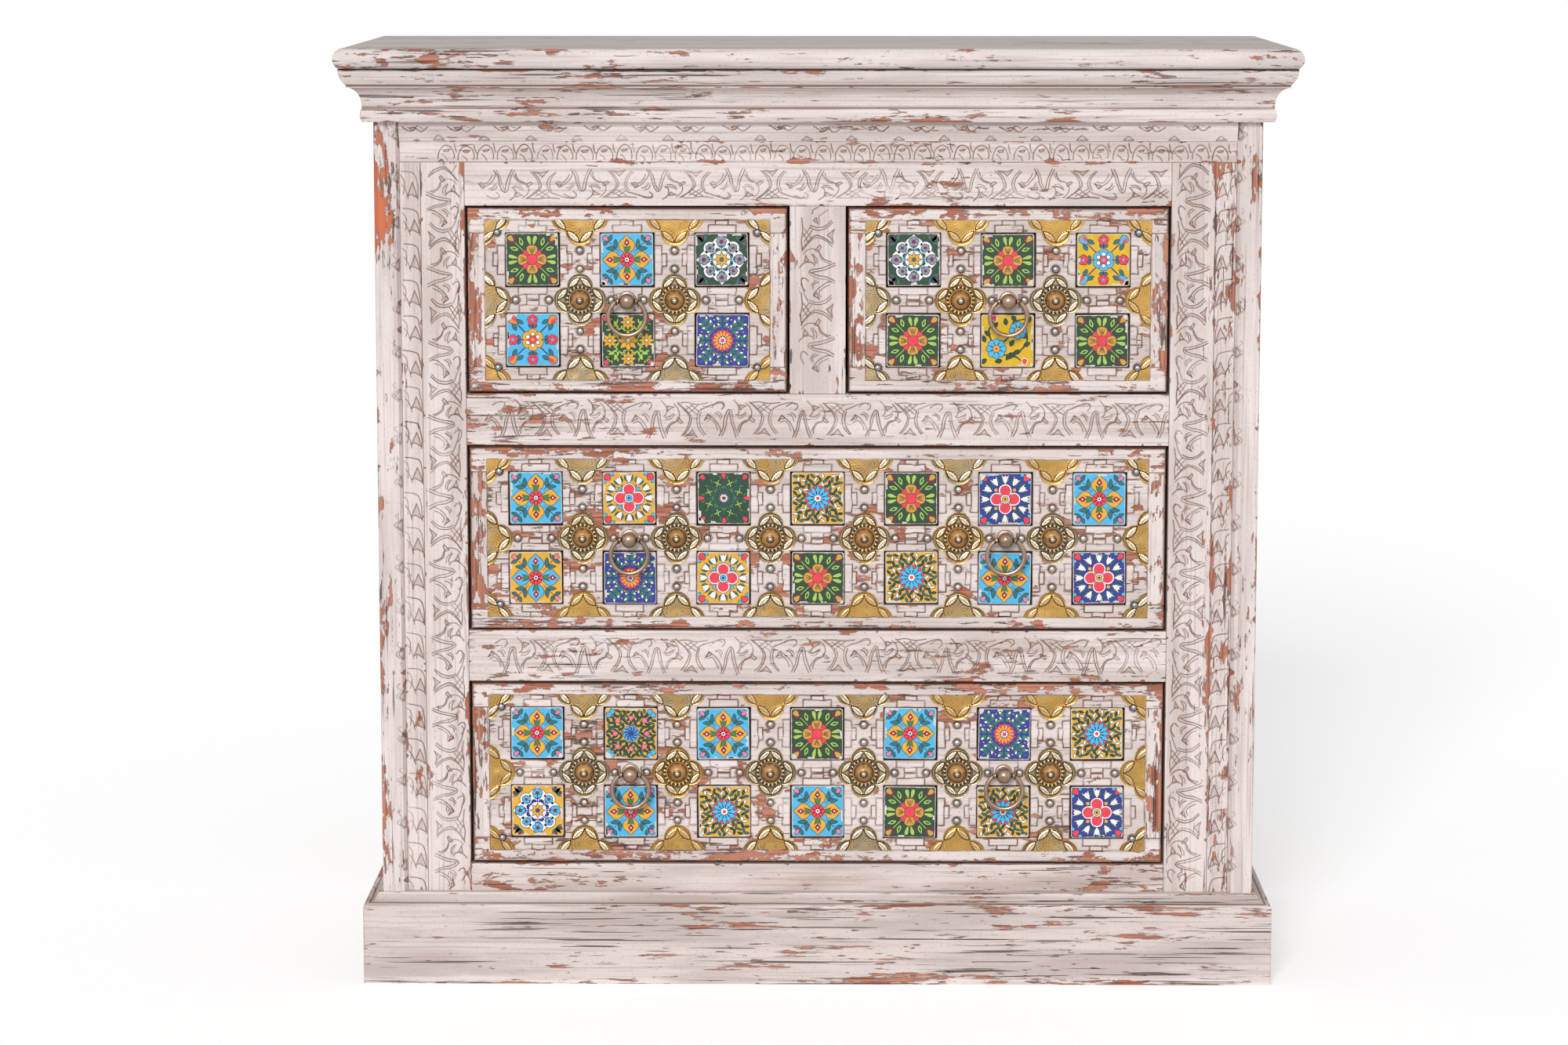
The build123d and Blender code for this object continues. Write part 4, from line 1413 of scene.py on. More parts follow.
@dataclass(frozen=True)
class FrontPlan:
    """Where everything sits on one drawer front, in metres from its middle."""

    name: str
    tile_rows: tuple[str, str]
    pull_x: tuple[float, ...]
    rings: tuple[str, ...]
    tile_pitch: float = 91 * MM
    pocket: float = 51.9 * MM
    field_depth: float = 1.2 * MM
    lip: float = 12 * MM
    edge_lobe_reach: float = 25 * MM
    lobe_reach: float = 25.5 * MM
    nail_gap: float = 4.5 * MM
    corner_inset: float = 12 * MM

    def _half_box(self, part: str) -> Point:
        """Half of a node's width and height."""
        low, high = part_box(f"{self.name}_{part}")
        return (high.x - low.x) / 2, (high.z - low.z) / 2

    def spot(self, x: float, inward: float, z: float) -> tuple[float, float, float]:
        """A point in the chest's frame, from one right of and above the middle and in from the face."""
        low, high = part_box(f"{self.name}_front_strips")
        return (low.x + high.x) / 2 + x, low.y + inward, (low.z + high.z) / 2 + z

    @property
    def half(self) -> Point:
        """Half of its width and height."""
        return self._half_box("front_strips")

    @property
    def panel_half(self) -> Point:
        """Half of the carved panel's width and height."""
        return self._half_box("carved_panel")

    @property
    def field_half(self) -> Point:
        """Half of the recessed field's width and height."""
        return self.panel_half[0], self.half[1] - self.lip

    def _columns(self, count: int) -> list[float]:
        """X of evenly pitched places."""
        return [(i - (count - 1) / 2) * self.tile_pitch for i in range(count)]

    @property
    def tiles(self) -> list[tuple[str, float, float]]:
        """Every tile, row by row from the top.

        Returns:
            The design's letter, x and z of each.
        """
        row = self.panel_half[1] - self.pocket / 2
        places = [(x, z) for z in (row, -row) for x in self._columns(len(self.tile_rows[0]))]
        return [(letter, x, z) for letter, (x, z) in zip("".join(self.tile_rows), places)]

    @property
    def rosettes(self) -> list[float]:
        """X of the whole plates, halfway between the tile columns."""
        return self._columns(len(self.tile_rows[0]) - 1)

    @property
    def nails(self) -> list[tuple[float, float, bool]]:
        """Every nail but those on the bosses.

        Returns:
            Of each, x, z and whether it goes through a corner plate.
        """
        ring = self.lobe_reach + self.nail_gap
        tip = self.edge_lobe_reach + self.nail_gap
        wide, high = self.field_half
        places = []
        for x in self.rosettes:
            places += [(x - ring, 0), (x + ring, 0), (x, ring), (x, -ring), (x, high - tip), (x, tip - high)]
        places += [(tip - wide, 0), (wide - tip, 0)]
        inner_x, inner_z = wide - self.corner_inset, high - self.corner_inset
        corners = [(a * inner_x, b * inner_z) for a in (-1, 1) for b in (-1, 1)]
        return [(x, z, False) for x, z in places] + [(x, z, True) for x, z in corners]


@dataclass
class CarvedFront:
    """Drawer front: a raised lip, and a recessed field with stepped blocks round each tile pocket."""

    plan: FrontPlan
    cell: float = 1.0 * MM
    block_rise: float = 1.0 * MM
    pocket_depth: float = 7.1 * MM
    blocks: tuple[tuple[float, float, float], ...] = ((0, 7.5 * MM, 27 * MM), (7.5 * MM, 4.5 * MM, 12 * MM))
    pad_half: float = 10.25 * MM
    edge_round: float = 2.5 * MM
    waver: float = 0.55 * MM
    nail_ring: float = 4.3 * MM

    def _block_distance(self, x: Array, z: Array) -> Array:
        """Distance to the nearest raised block, negative inside.

        Args:
            x: distance right of the front's middle.
            z: distance above it.

        Returns:
            The distance at each grid point.
        """
        best = np.full(x.shape, np.inf)
        for at in self.plan.pull_x:
            best = np.minimum(best, np.maximum(np.abs(x - at), np.abs(z)) - self.pad_half)
        for _, tile_x, tile_z in self.plan.tiles:
            u, v = np.abs(x - tile_x), np.abs(z - tile_z)
            for start, width, length in self.blocks:
                middle = self.plan.pocket / 2 + start + width / 2
                for a, b in ((u, v), (v, u)):
                    best = np.minimum(best, np.maximum(np.abs(a - middle) - width / 2, b - length / 2))
        return best

    def _carve(self, relief: Relief, rng: Rng, is_panel: bool) -> None:
        """Carves the part of the front that one board shows.

        Args:
            relief: the board's face.
            rng: the random source.
            is_panel: whether it is the carved panel, through whose edge the pockets run out.
        """
        plan = self.plan
        middle_x, _, middle_z = plan.spot(0, 0, 0)
        x = np.broadcast_to(relief.run[None, :] - middle_x, relief.depth.shape)
        z = np.broadcast_to(relief.across[:, None] - middle_z, relief.depth.shape)
        (half_x, half_z), (field_x, field_z), (panel_x, panel_z) = plan.half, plan.field_half, plan.panel_half
        pitches = ((8 * MM, 7 * MM), (8 * MM, 7 * MM), (17 * MM, 12 * MM), (3 * MM, 3 * MM))
        noise_x, noise_z, cloud, grit = (soft_noise(relief.run, relief.across, p, rng) for p in pitches)
        soft_x, soft_z = x + self.waver * noise_x, z + self.waver * noise_z

        rim = np.maximum(np.abs(soft_x) - field_x, np.abs(soft_z) - field_z)
        block = self._block_distance(soft_x, soft_z)
        outer = np.minimum(half_x - np.abs(x), half_z - np.abs(z))
        inside = smooth(-rim, 0, 1.2 * MM)
        depth = plan.field_depth * inside
        depth = depth - self.block_rise * smooth(-block, -0.1 * MM, 0.9 * MM) * (rim < 0)
        depth = depth + round_over(outer, self.edge_round) + 0.12 * MM * (1 + noise_x)

        line = bell(block, 0.65 * MM) * (rim < 0) + 0.9 * bell(rim, 0.7 * MM)
        wash = line * (0.95 + 0.3 * cloud) + 0.2 * inside * (block > 0)
        # A dark ring on the wood just outside each nail head: painted shade round the head, carried as wash.
        for nail_x, nail_z, _ in plan.nails:
            wash = np.maximum(wash, bell(np.hypot(x - nail_x, z - nail_z) - self.nail_ring, 0.7 * MM))
        # Near-black along the front's outer edge: the painted shadow of the gap between drawer front and
        # frame.
        wash = np.maximum(wash, 2.3 * fade(outer, 1.4 * MM))
        worn = 0.42 * np.clip(rim / (4 * MM), 0, 1) + 0.4 * fade(outer, 4 * MM)
        worn = worn + 0.75 * inside * (block > 0.3 * MM) * smooth(cloud, 0.1, 0.45)
        worn = worn + 0.2 * inside * (block <= 0) * smooth(grit, 0.5, 0.9)

        slack = (0.01 if is_panel else -0.01) * MM
        for _, tile_x, tile_z in plan.tiles:
            wall = np.maximum(np.abs(x - tile_x), np.abs(z - tile_z)) - plan.pocket / 2
            away = np.maximum(wall, 0)
            depth = np.where(wall < slack, self.pocket_depth, depth + round_over(away, 0.6 * MM))
            # Near-black round each tile pocket: the painted shadow of the gap between tile and pocket.
            wash = np.maximum(wash, 1.5 * fade(away, 0.6 * MM))
        joint = bell(np.abs(z) - panel_z, 0.5 * MM) * (np.abs(x) > panel_x)
        # The front's side faces get a plain brown 0.7 in place of the painted gap shadow.
        wash = np.where(outer < 0.1 * MM, 0.7, np.maximum(wash, 0.85 * joint))
        relief.depth = depth + 0.4 * MM * joint
        relief.wash, relief.worn = np.clip(wash, 0, 2), np.clip(worn, 0, 1)

    def _board(self, low: Point, high: Point, maker: MeshMaker, rng: Rng, is_panel: bool) -> None:
        """Adds one board of the front. An edge strip that is taller than wide has its grain upright.

        Args:
            low: its lower left corner from the front's middle.
            high: its upper right corner.
            maker: the piece.
            rng: the random source.
            is_panel: whether it is the carved panel and not an edge strip.
        """
        wall, step = self.plan.pocket / 2, 0.06 * MM
        walls = [side * (wall + s) for side in (-1, 1) for s in (-step, step)]
        cuts = [[tile[1 + i] + w for tile in self.plan.tiles for w in walls] for i in (0, 1)]
        for lines, half in zip(cuts, self.plan.half):
            lines += [side * (half - r) for side in (-1, 1) for r in (0.3 * MM, 0.8 * MM, 1.6 * MM)]
        middle_x, face, middle_z = self.plan.spot(0, 0, 0)
        relief = Relief(
            grid_lines(low[0], high[0], self.cell, cuts[0]) + middle_x,
            grid_lines(low[1], high[1], self.cell, cuts[1]) + middle_z,
        )
        relief.has_upright_grain = not is_panel and high[1] - low[1] > high[0] - low[0]
        self._carve(relief, rng, is_panel)
        BoardPlace(face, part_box(f"{self.plan.name}_front_strips")[1].y).solid(relief, maker)

    def build(self, paint: Material) -> None:
        """Makes the four edge strips as one piece and the carved panel as another.

        Args:
            paint: the finish.
        """
        name = self.plan.name
        rng = dice(name)
        (half_x, half_z), (panel_x, panel_z) = self.plan.half, self.plan.panel_half
        strips, panel = (MeshMaker("wash", "worn", "upright") for _ in range(2))
        for low, high in (
            ((-half_x, panel_z), (half_x, half_z)),
            ((-half_x, -half_z), (half_x, -panel_z)),
            ((-half_x, -panel_z), (-panel_x, panel_z)),
            ((panel_x, -panel_z), (half_x, panel_z)),
        ):
            self._board(low, high, strips, rng, False)
        self._board((-panel_x, -panel_z), (panel_x, panel_z), panel, rng, True)
        for maker, part in ((strips, "front_strips"), (panel, "carved_panel")):
            maker.settle(f"{name}_{part}_painted", paint, name, "painted_wood", f"{name}_{part}", 40)


# ---------------------------------------------------------------- tiles


class Glaze(Enum):
    """Glaze colours of the tiles."""

    SKY = "4FB8E8"
    COBALT = "2A3A94"
    NAVY = "20306B"
    FOREST = "25452F"
    SLATE = "8C98A6"
    LEAF = "3F7F4A"
    TEAL = "2C6F70"
    LIME = "ABCB58"
    YELLOW = "E8AE2E"
    LEMON = "E0B511"
    MUSTARD = "CFA23C"
    ORANGE = "EE8A2A"
    RED = "E93F52"
    PINK = "EE7F9B"
    MAROON = "7C2038"
    WHITE = "F3F0EC"
    LINE = "26303C"
    BISCUIT = "D9D5CE"


SKY, COBALT, NAVY, FOREST, SLATE, LEAF, TEAL, LIME, YELLOW = list(Glaze)[:9]
LEMON, MUSTARD, ORANGE, RED, PINK, MAROON, WHITE, LINE, BISCUIT = list(Glaze)[9:]


class Petal(Enum):
    """Half widths of a petal, as shares, at shares of its length."""

    LEAF = ((0.0, 0.0), (0.17, 0.6), (0.35, 0.95), (0.5, 1.0), (0.7, 0.75), (0.87, 0.35), (1.0, 0.0))
    ROUND = ((0.0, 0.3), (0.25, 0.62), (0.5, 0.92), (0.72, 1.0), (0.87, 0.84), (0.96, 0.5), (1.0, 0.0))
    OGEE = (
        (0.0, 0.2), (0.14, 0.24), (0.27, 0.5), (0.36, 0.86), (0.5, 1.0),
        (0.64, 0.96), (0.76, 0.7), (0.86, 0.34), (1.0, 0.0),
    )
    TULIP = ((0.0, 0.1), (0.3, 0.55), (0.6, 0.7), (1.0, 1.0), (0.75, 0.45), (0.9, 0.0))

    def __call__(self, near: float, far: float, half_width: float) -> Array:
        """The petal's corners, pointing up from the tile's middle.

        Args:
            near: where it starts.
            far: where it ends.
            half_width: its greatest half width.

        Returns:
            One row each.
        """
        right = [(w * half_width, near + s * (far - near)) for s, w in self.value]
        left = [(-u, v) for u, v in reversed(right) if u > 1e-9]
        return np.array(right + left)


leaf, round_petal, ogee, tulip = Petal


def disc(radius: float, corners: int = 16, place: Point = (0.0, 0.0)) -> Array:
    """The corners of a round spot at a place, one row each."""
    turn = np.linspace(0, 2 * math.pi, corners, endpoint=False)
    return np.stack([place[0] + radius * np.cos(turn), place[1] + radius * np.sin(turn)], -1)


def brushed(points: Sequence[Point], width: float) -> Array:
    """A thin line of glaze, thickest in its middle.

    Args:
        points: what it passes through.
        width: its half width.

    Returns:
        Its outline.
    """
    line = curve_through(points, 5)
    along = np.gradient(line, axis=0)
    across = np.stack([-along[:, 1], along[:, 0]], -1) / (np.hypot(*along.T)[:, None] + 1e-9)
    swell = (0.45 + 0.55 * np.sin(np.linspace(0.1, math.pi - 0.1, len(line))))[:, None] * width
    return np.vstack([line + across * swell, (line - across * swell)[::-1]])


def turned(outline: Array, degrees: float, shift: Point = (0.0, 0.0)) -> Array:
    """An outline turned anticlockwise about the tile's middle, then moved."""
    c, s = math.cos(math.radians(degrees)), math.sin(math.radians(degrees))
    return outline @ np.array([[c, s], [-s, c]]) + np.array(shift)


def around(outline: Array, count: int, start: float = 0.0, shift: Point = (0.0, 0.0)) -> list[Array]:
    """Copies of an outline, evenly turned round a point from a first angle in degrees."""
    return [turned(outline, start + 360 * i / count, shift) for i in range(count)]


def mirrored(outline: Array) -> Array:
    """The outline with left and right swapped."""
    return outline[::-1] * np.array([-1, 1])


def winding(outline: Array) -> float:
    """Twice an outline's area, negative if it runs clockwise."""
    u, v = outline.T
    return np.sum(u * np.roll(v, -1) - v * np.roll(u, -1))


@dataclass
class Tile:
    """One hand-painted tile: a pale biscuit block with flat shapes of glaze laid over each other.

    Its designs are written in halves of its side, from its middle.
    """

    maker: MeshMaker
    centre: Place
    rng: Rng
    half: float = 25.25 * MM
    thickness: float = 5.5 * MM
    corner: float = 2 * MM
    bevel: float = 0.5 * MM
    glaze_step: float = 0.006 * MM
    glaze_room: float = 0.16 * MM
    rim: float = 0.022
    level: int = 0
    turn: float = field(init=False)

    def __post_init__(self) -> None:
        """Picks how crooked the tile sits."""
        self.turn = self.rng.uniform(-0.8, 0.8)

    def _place(self, outline: Array, depth: float) -> Array:
        """Points of an outline in the chest's frame, at a depth under the tile's front."""
        u, v = turned(outline, self.turn).T
        return np.stack([self.centre[0] + u, np.full(len(u), self.centre[1] + depth), self.centre[2] + v], -1)

    def _body(self) -> None:
        """Adds the biscuit block, with a small bevel round its front."""
        turns = np.linspace(0, math.pi / 2, 4)
        rings = []
        levels = (0, self.thickness), (0, self.glaze_room + self.bevel), (self.bevel, self.glaze_room)
        for inset, level in levels:
            reach, radius = self.half - inset, self.corner - inset
            corner = np.stack([np.cos(turns), np.sin(turns)], -1) * radius + (reach - radius)
            rings.append(self._place(np.vstack(around(corner, 4)), level))
        self.maker.tube(np.array(rings), glaze=linear(BISCUIT.value), worn=1.0)

    def lay(self, colour: Glaze, line: Optional[Glaze], *outlines: Array, worn: float = 0.0) -> None:
        """Lays shapes of one glaze, with a line round them if wanted.

        Args:
            colour: the glaze.
            line: the glaze of the line.
            outlines: the shapes.
            worn: how matt they are.
        """
        shapes = [o + self.rng.uniform(-0.005, 0.005, o.shape) for o in outlines]
        runs = [(shapes, colour)]
        if line is not None:
            edges = []
            for shape in shapes:
                ahead = np.roll(shape, -1, 0) - np.roll(shape, 1, 0)
                side = np.stack([ahead[:, 1], -ahead[:, 0]], -1) / (np.hypot(*ahead.T)[:, None] + 1e-9)
                edges.append(shape + (1 if winding(shape) > 0 else -1) * self.rim * side)
            runs.insert(0, (edges, line))
        for group, glaze in runs:
            self.level += 1
            depths = self.glaze_room - self.level * self.glaze_step, self.glaze_room + 0.05 * MM
            for shape in group:
                shape = np.clip(shape, -0.976, 0.976) * self.half
                shape = shape[::-1] if winding(shape) < 0 else shape
                rings = np.array([self._place(shape, depth) for depth in depths])
                self.maker.tube(rings, True, glaze=linear(glaze.value), worn=worn)

    def fan(self, count: int, colour: Glaze, line: Optional[Glaze], *outlines: Array) -> None:
        """Lays shapes evenly turned round the middle."""
        self.lay(colour, line, *(c for outline in outlines for c in around(outline, count)))

    def corners(self, colour: Glaze, line: Optional[Glaze], *outlines: Array) -> None:
        """Lays upright shapes once towards each corner."""
        self.lay(colour, line, *(c for outline in outlines for c in around(outline, 4, 45)))

    def both(self, count: int, colour: Glaze, line: Optional[Glaze], *outlines: Array) -> None:
        """Lays shapes and their mirror images, evenly turned round the middle."""
        self.fan(count, colour, line, *(side for shape in outlines for side in (shape, mirrored(shape))))

    def ground(self, colour: Glaze) -> None:
        """Lays the ground glaze, uneven along the tile's edges.

        Args:
            colour: the glaze.
        """
        steps = 22
        wobble = self.rng.uniform(0.955, 1.0, (4, steps))
        wobble[:, 0] = 0.955
        edge = np.stack([np.linspace(-1, 1, steps, endpoint=False), np.full(steps, -1.0)], -1)
        sides = [turned(edge * row[:, None], 90 * i) for i, row in enumerate(wobble)]
        self.lay(colour, None, np.vstack(sides))

    def wear(self) -> None:
        """Lays pale worn patches along the edges and at a corner or two."""
        patches = []
        for _ in range(self.rng.integers(3, 7)):
            start = self.rng.uniform(-0.95, 0.6)
            long, deep = self.rng.uniform(0.08, 0.45), self.rng.uniform(0.02, 0.07)
            u = np.linspace(start, min(start + long, 0.96), 8)
            inner = 0.93 - deep * self.rng.uniform(0.1, 1.0, 8)
            outline = np.vstack([np.stack([u, np.full(8, 0.96)], -1), np.stack([u, inner], -1)[::-1]])
            patches.append(turned(outline, 90 * self.rng.integers(0, 4)))
        for _ in range(self.rng.integers(0, 3)):
            size = self.rng.uniform(0.08, 0.26)
            notch = (0.9 - size * 0.5, 0.93 - 0.4 * size)
            outline = np.array([(0.96, 0.96), (0.96 - size, 0.96), notch, (0.96, 0.96 - size)])
            patches.append(turned(outline, 90 * self.rng.integers(0, 4)))
        self.lay(BISCUIT, None, *patches, worn=1.0)

    def four_petals(self) -> None:
        """Green ground, four striped yellow petals over four red ones, lime leaves."""
        self.ground(FOREST)
        self.corners(LIME, None, brushed([(0, 0.4), (0, 1.05)], 0.014))
        self.both(4, LIME, LINE, turned(round_petal(0, 0.34, 0.07), -14, (0.06, 0.57)))
        self.both(4, LIME, None, turned(leaf(0, 0.34, 0.075), -18, (0.36, 0.52)))
        self.both(4, FOREST, None, turned(leaf(0.07, 0.27, 0.035), -18, (0.36, 0.52)))
        self.corners(RED, MAROON, round_petal(0.05, 0.45, 0.13))
        self.fan(4, MUSTARD, MAROON, round_petal(0.1, 0.54, 0.2))
        stripes = [brushed([(0.3 * u, 0.24), (u, 0.47)], 0.014) for u in (-0.11, -0.04, 0.04, 0.11)]
        self.fan(4, MAROON, None, *stripes)
        self.lay(RED, MAROON, disc(0.2))
        self.corners(MAROON, LINE, disc(0.17, 10, (0, 1.1)))
        self.corners(MUSTARD, LINE, round_petal(1.0, 1.26, 0.1))

    def ogee_petals(self, ground: Glaze = SKY, petal: Glaze = YELLOW) -> None:
        """Four large ogee petals with diamonds, a red flower in the middle, sprigs in the corners.

        Args:
            ground: the ground's glaze.
            petal: the four petals' glaze.
        """
        self.ground(ground)
        turns = (45, 135, 225, 315)
        side = turned(leaf(0, 0.37, 0.07), -42, (0, 0.585))
        for turn in turns:
            self.lay(LINE, None, turned(brushed([(0, 0.4), (0, 1.14)], 0.014), turn))
            self.lay(TEAL, LINE, turned(side, turn), turned(mirrored(side), turn))
            self.lay(PINK, LINE, turned(round_petal(1.03, 1.24, 0.085), turn))
        fork = turned(leaf(0, 0.26, 0.06), -70, (0.02, 0.98))
        self.lay(TEAL, LINE, *(turned(half, turn) for turn in turns for half in (fork, mirrored(fork))))
        self.fan(4, petal, NAVY, ogee(0.1, 0.93, 0.3))
        self.fan(4, LEAF, LINE, tulip(0.22, 0.54, 0.13))
        self.fan(4, MAROON, RED, np.array([(0, 0.5), (0.1, 0.64), (0, 0.8), (-0.1, 0.64)]))
        self.fan(4, WHITE, None, disc(0.035, 8, (0, 0.65)))
        self.fan(8, RED, MAROON, round_petal(0.04, 0.26, 0.085))
        self.lay(WHITE, LINE, disc(0.08, 10))
        self.lay(NAVY, None, disc(0.04, 8))

    def medallion(self, ground: Glaze = FOREST, floret: Glaze = SLATE, twig: Glaze = TEAL) -> None:
        """A white medallion of four pointed and four round lobes, with florets.

        Args:
            ground: the ground's glaze.
            floret: the florets' glaze.
            twig: the twigs' glaze.
        """
        self.ground(ground)
        spray = [turned(turned(leaf(0, 0.3, 0.06), turn, (0, 0.98)), 45) for turn in (-75, -35, 0)]
        self.both(4, TEAL, None, *spray)
        self.corners(MAROON, None, *(disc(0.07, 8, (u, 1.12)) for u in (-0.14, 0.14)))
        self.lay(WHITE, LINE, *around(ogee(0.2, 0.96, 0.33), 4), *around(disc(0.24, 16, (0, 0.62)), 4, 45))
        self.lay(WHITE, None, disc(0.6, 24))
        self.fan(8, NAVY, None, brushed([(0, 0.25), (0, 0.6)], 0.02))
        twigs = [turned(leaf(0, 0.2, 0.06), -turn, (0.02, at)) for turn, at in ((65, 0.34), (30, 0.44))]
        self.both(8, twig, None, *twigs)
        for i in range(8):
            reach, size = (0.68, 0.19) if i % 2 == 0 else (0.62, 0.15)
            place = (reach * math.sin(i * math.pi / 4), reach * math.cos(i * math.pi / 4))
            self.lay(floret, NAVY, *around(round_petal(0.01, size, 0.45 * size), 5, 20 * i, place))
            self.lay(MAROON, None, disc(0.42 * size, 8, place))
        self.fan(8, YELLOW, NAVY, leaf(0.03, 0.27, 0.055))
        self.lay(twig, LINE, disc(0.07, 10))

    def blossom(self, ground: Glaze = SKY, flower: Glaze = YELLOW, bud: Glaze = ORANGE) -> None:
        """A six-petalled flower with four florets and four buds on thin stems.

        Args:
            ground: the ground's glaze.
            flower: the large flower's glaze.
            bud: the buds' glaze.
        """
        self.ground(ground)
        self.corners(NAVY, None, brushed([(0, 0.3), (0, 0.95)], 0.024))
        self.fan(4, NAVY, None, brushed([(0, 0.3), (0, 0.7)], 0.024))
        curl = turned(leaf(0, 0.17, 0.05), -60, (0.02, 0.48))
        self.both(4, TEAL, NAVY, turned(leaf(0, 0.32, 0.07), -62, (0.36, 0.62)), curl)
        self.corners(bud, LINE, round_petal(0.88, 1.24, 0.15))
        self.corners(RED, None, leaf(0.92, 1.24, 0.06) + np.array([0.06, 0]))
        for place in ((0, 0.76), (0.76, 0), (0, -0.76), (-0.76, 0)):
            self.lay(RED, MAROON, *around(round_petal(0.02, 0.19, 0.085), 5, 0, place))
            self.lay(SKY, None, disc(0.06, 8, place))
        self.fan(6, flower, MAROON, round_petal(0.08, 0.41, 0.16))
        self.fan(6, WHITE, LINE, disc(0.07, 8, (0, 0.22)))
        self.lay(RED, MAROON, disc(0.14))
        self.lay(flower, None, disc(0.06, 8))

    def five_daisies(self) -> None:
        """Five yellow daisies on green, with lime vines."""
        self.ground(FOREST)
        spark = [turned(leaf(0, 0.17, 0.03), turn) for turn in (-60, 0, 70)]
        spots = ((0.36, 0.4, -20), (0.6, 0.42, 30), (0.42, 0.66, -60), (0.72, 0.66, -45), (0.2, 0.42, 40))
        for u, v, turn in spots:
            self.both(4, LIME, None, *(turned(shape, turn, (u, v)) for shape in spark))
        self.corners(RED, LINE, disc(0.1, 10, (0, 1.2)))
        for u, v, reach in ((0, 0, 0.36), (0, 0.7, 0.25), (0.7, 0, 0.25), (0, -0.7, 0.25), (-0.7, 0, 0.25)):
            self.lay(RED, None, *around(leaf(0.05, 0.85 * reach, 0.3 * reach), 8, 22, (u, v)))
            self.lay(YELLOW, LINE, *around(leaf(0.1 * reach, 1.15 * reach, 0.24 * reach), 8, 0, (u, v)))
            self.lay(WHITE, LINE, disc(0.2 * reach, 10, (u, v)))

    def sunburst(self) -> None:
        """A sunburst of thin petals on cobalt, with leaf pairs round it."""
        self.ground(COBALT)
        self.corners(LEAF, None, brushed([(0, 0.42), (0, 1.2)], 0.014))
        for far, size in ((0.5, 0.2), (0.7, 0.24), (0.92, 0.22)):
            self.both(8, LEAF, None, turned(leaf(0, size, 0.36 * size), -44, (0.05, far)))
            self.both(8, WHITE, None, turned(leaf(0.55 * size, 1.1 * size, 0.16 * size), -44, (0.05, far)))
        for far in (0.56, 0.86):
            self.lay(ORANGE, None, *around(disc(0.035, 6, (0, far)), 8, 22.5))
        self.fan(14, RED, NAVY, leaf(0.1, 0.46, 0.06))
        self.lay(YELLOW, None, *around(leaf(0.12, 0.4, 0.04), 14, 12.9))
        self.lay(NAVY, None, disc(0.17))
        self.fan(9, WHITE, None, disc(0.03, 6, (0, 0.12)))
        self.lay(RED, WHITE, disc(0.08, 10))

    def two_blooms(self) -> None:
        """Two blue flowers with vines on yellow, and a heart-shaped bud."""
        self.ground(LEMON)
        paths = (
            [(-0.42, -0.3), (0.0, 0.1), (0.4, 0.4)],
            [(-0.42, -0.3), (-0.72, 0.3), (-0.5, 0.8)],
            [(0.7, 0.5), (0.72, -0.1), (0.1, -0.7)],
            [(-0.2, -0.55), (0.2, -0.55), (0.6, -0.8)],
            [(0.4, 0.4), (0.2, 0.7), (0.7, 0.85)],
        )
        self.lay(FOREST, None, *(brushed(path, 0.035) for path in paths))
        spots = ((-0.66, 0.2, 50), (-0.55, 0.5, -40), (0.72, 0.1, 40), (0.62, -0.2, -60), (0.1, -0.5, 150))
        spots += ((-0.2, -0.75, 100), (0.3, 0.75, 30), (-0.05, 0.6, 10), (0.75, 0.7, -30), (-0.8, -0.7, 130))
        spots += ((0.5, -0.4, 100), (0.3, -0.6, 60), (0.1, -0.2, -30), (-0.85, -0.05, 20))
        self.lay(FOREST, LINE, *(turned(leaf(0, 0.27, 0.075), turn, (u, v)) for u, v, turn in spots))
        for u, v, turn in ((0.66, -0.8, 0), (-0.5, 0.85, 20)):
            self.lay(RED, WHITE, turned(round_petal(-0.1, 0.12, 0.1), turn, (u, v)))
        for place, reach in (((-0.42, -0.3), 0.38), ((0.4, 0.4), 0.33)):
            self.lay(SKY, LINE, *around(round_petal(0.15 * reach, reach, 0.3 * reach), 8, 0, place))
            self.lay(YELLOW, LINE, disc(0.34 * reach, 12, place))
            self.lay(RED, None, disc(0.15 * reach, 8, place))

    def quatrefoil(self, ground: Glaze = YELLOW, spot: Glaze = SKY) -> None:
        """Four round red petals inside twelve heart-shaped sprigs.

        Args:
            ground: the ground's glaze.
            spot: the glaze of the spots between the petals and in the middle.
        """
        self.ground(ground)
        pads = [turned(leaf(0, 0.26, 0.09), side, (0, 0.66)) for side in (-34, 34)]
        for turn in (0, 30, 60):
            self.fan(4, LINE, None, turned(brushed([(0, 0.4), (0, 0.8)], 0.016), turn))
            self.fan(4, TEAL, LINE, *(turned(pad, turn) for pad in pads))
            self.fan(4, WHITE, LINE, turned(tulip(0.6, 0.94, 0.14), turn))
        self.corners(RED, LINE, round_petal(1.02, 1.28, 0.12))
        self.corners(SKY, LINE, *(disc(0.07, 8, (u, 1.12)) for u in (-0.2, 0.2)))
        self.fan(4, WHITE, COBALT, disc(0.25, 16, (0, 0.33)))
        self.fan(4, RED, None, disc(0.21, 16, (0, 0.33)))
        self.corners(spot, LINE, disc(0.08, 4, (0, 0.5)))
        self.lay(WHITE, LINE, disc(0.17))
        self.lay(spot, NAVY, disc(0.11))
        self.lay(NAVY, None, disc(0.05, 8))

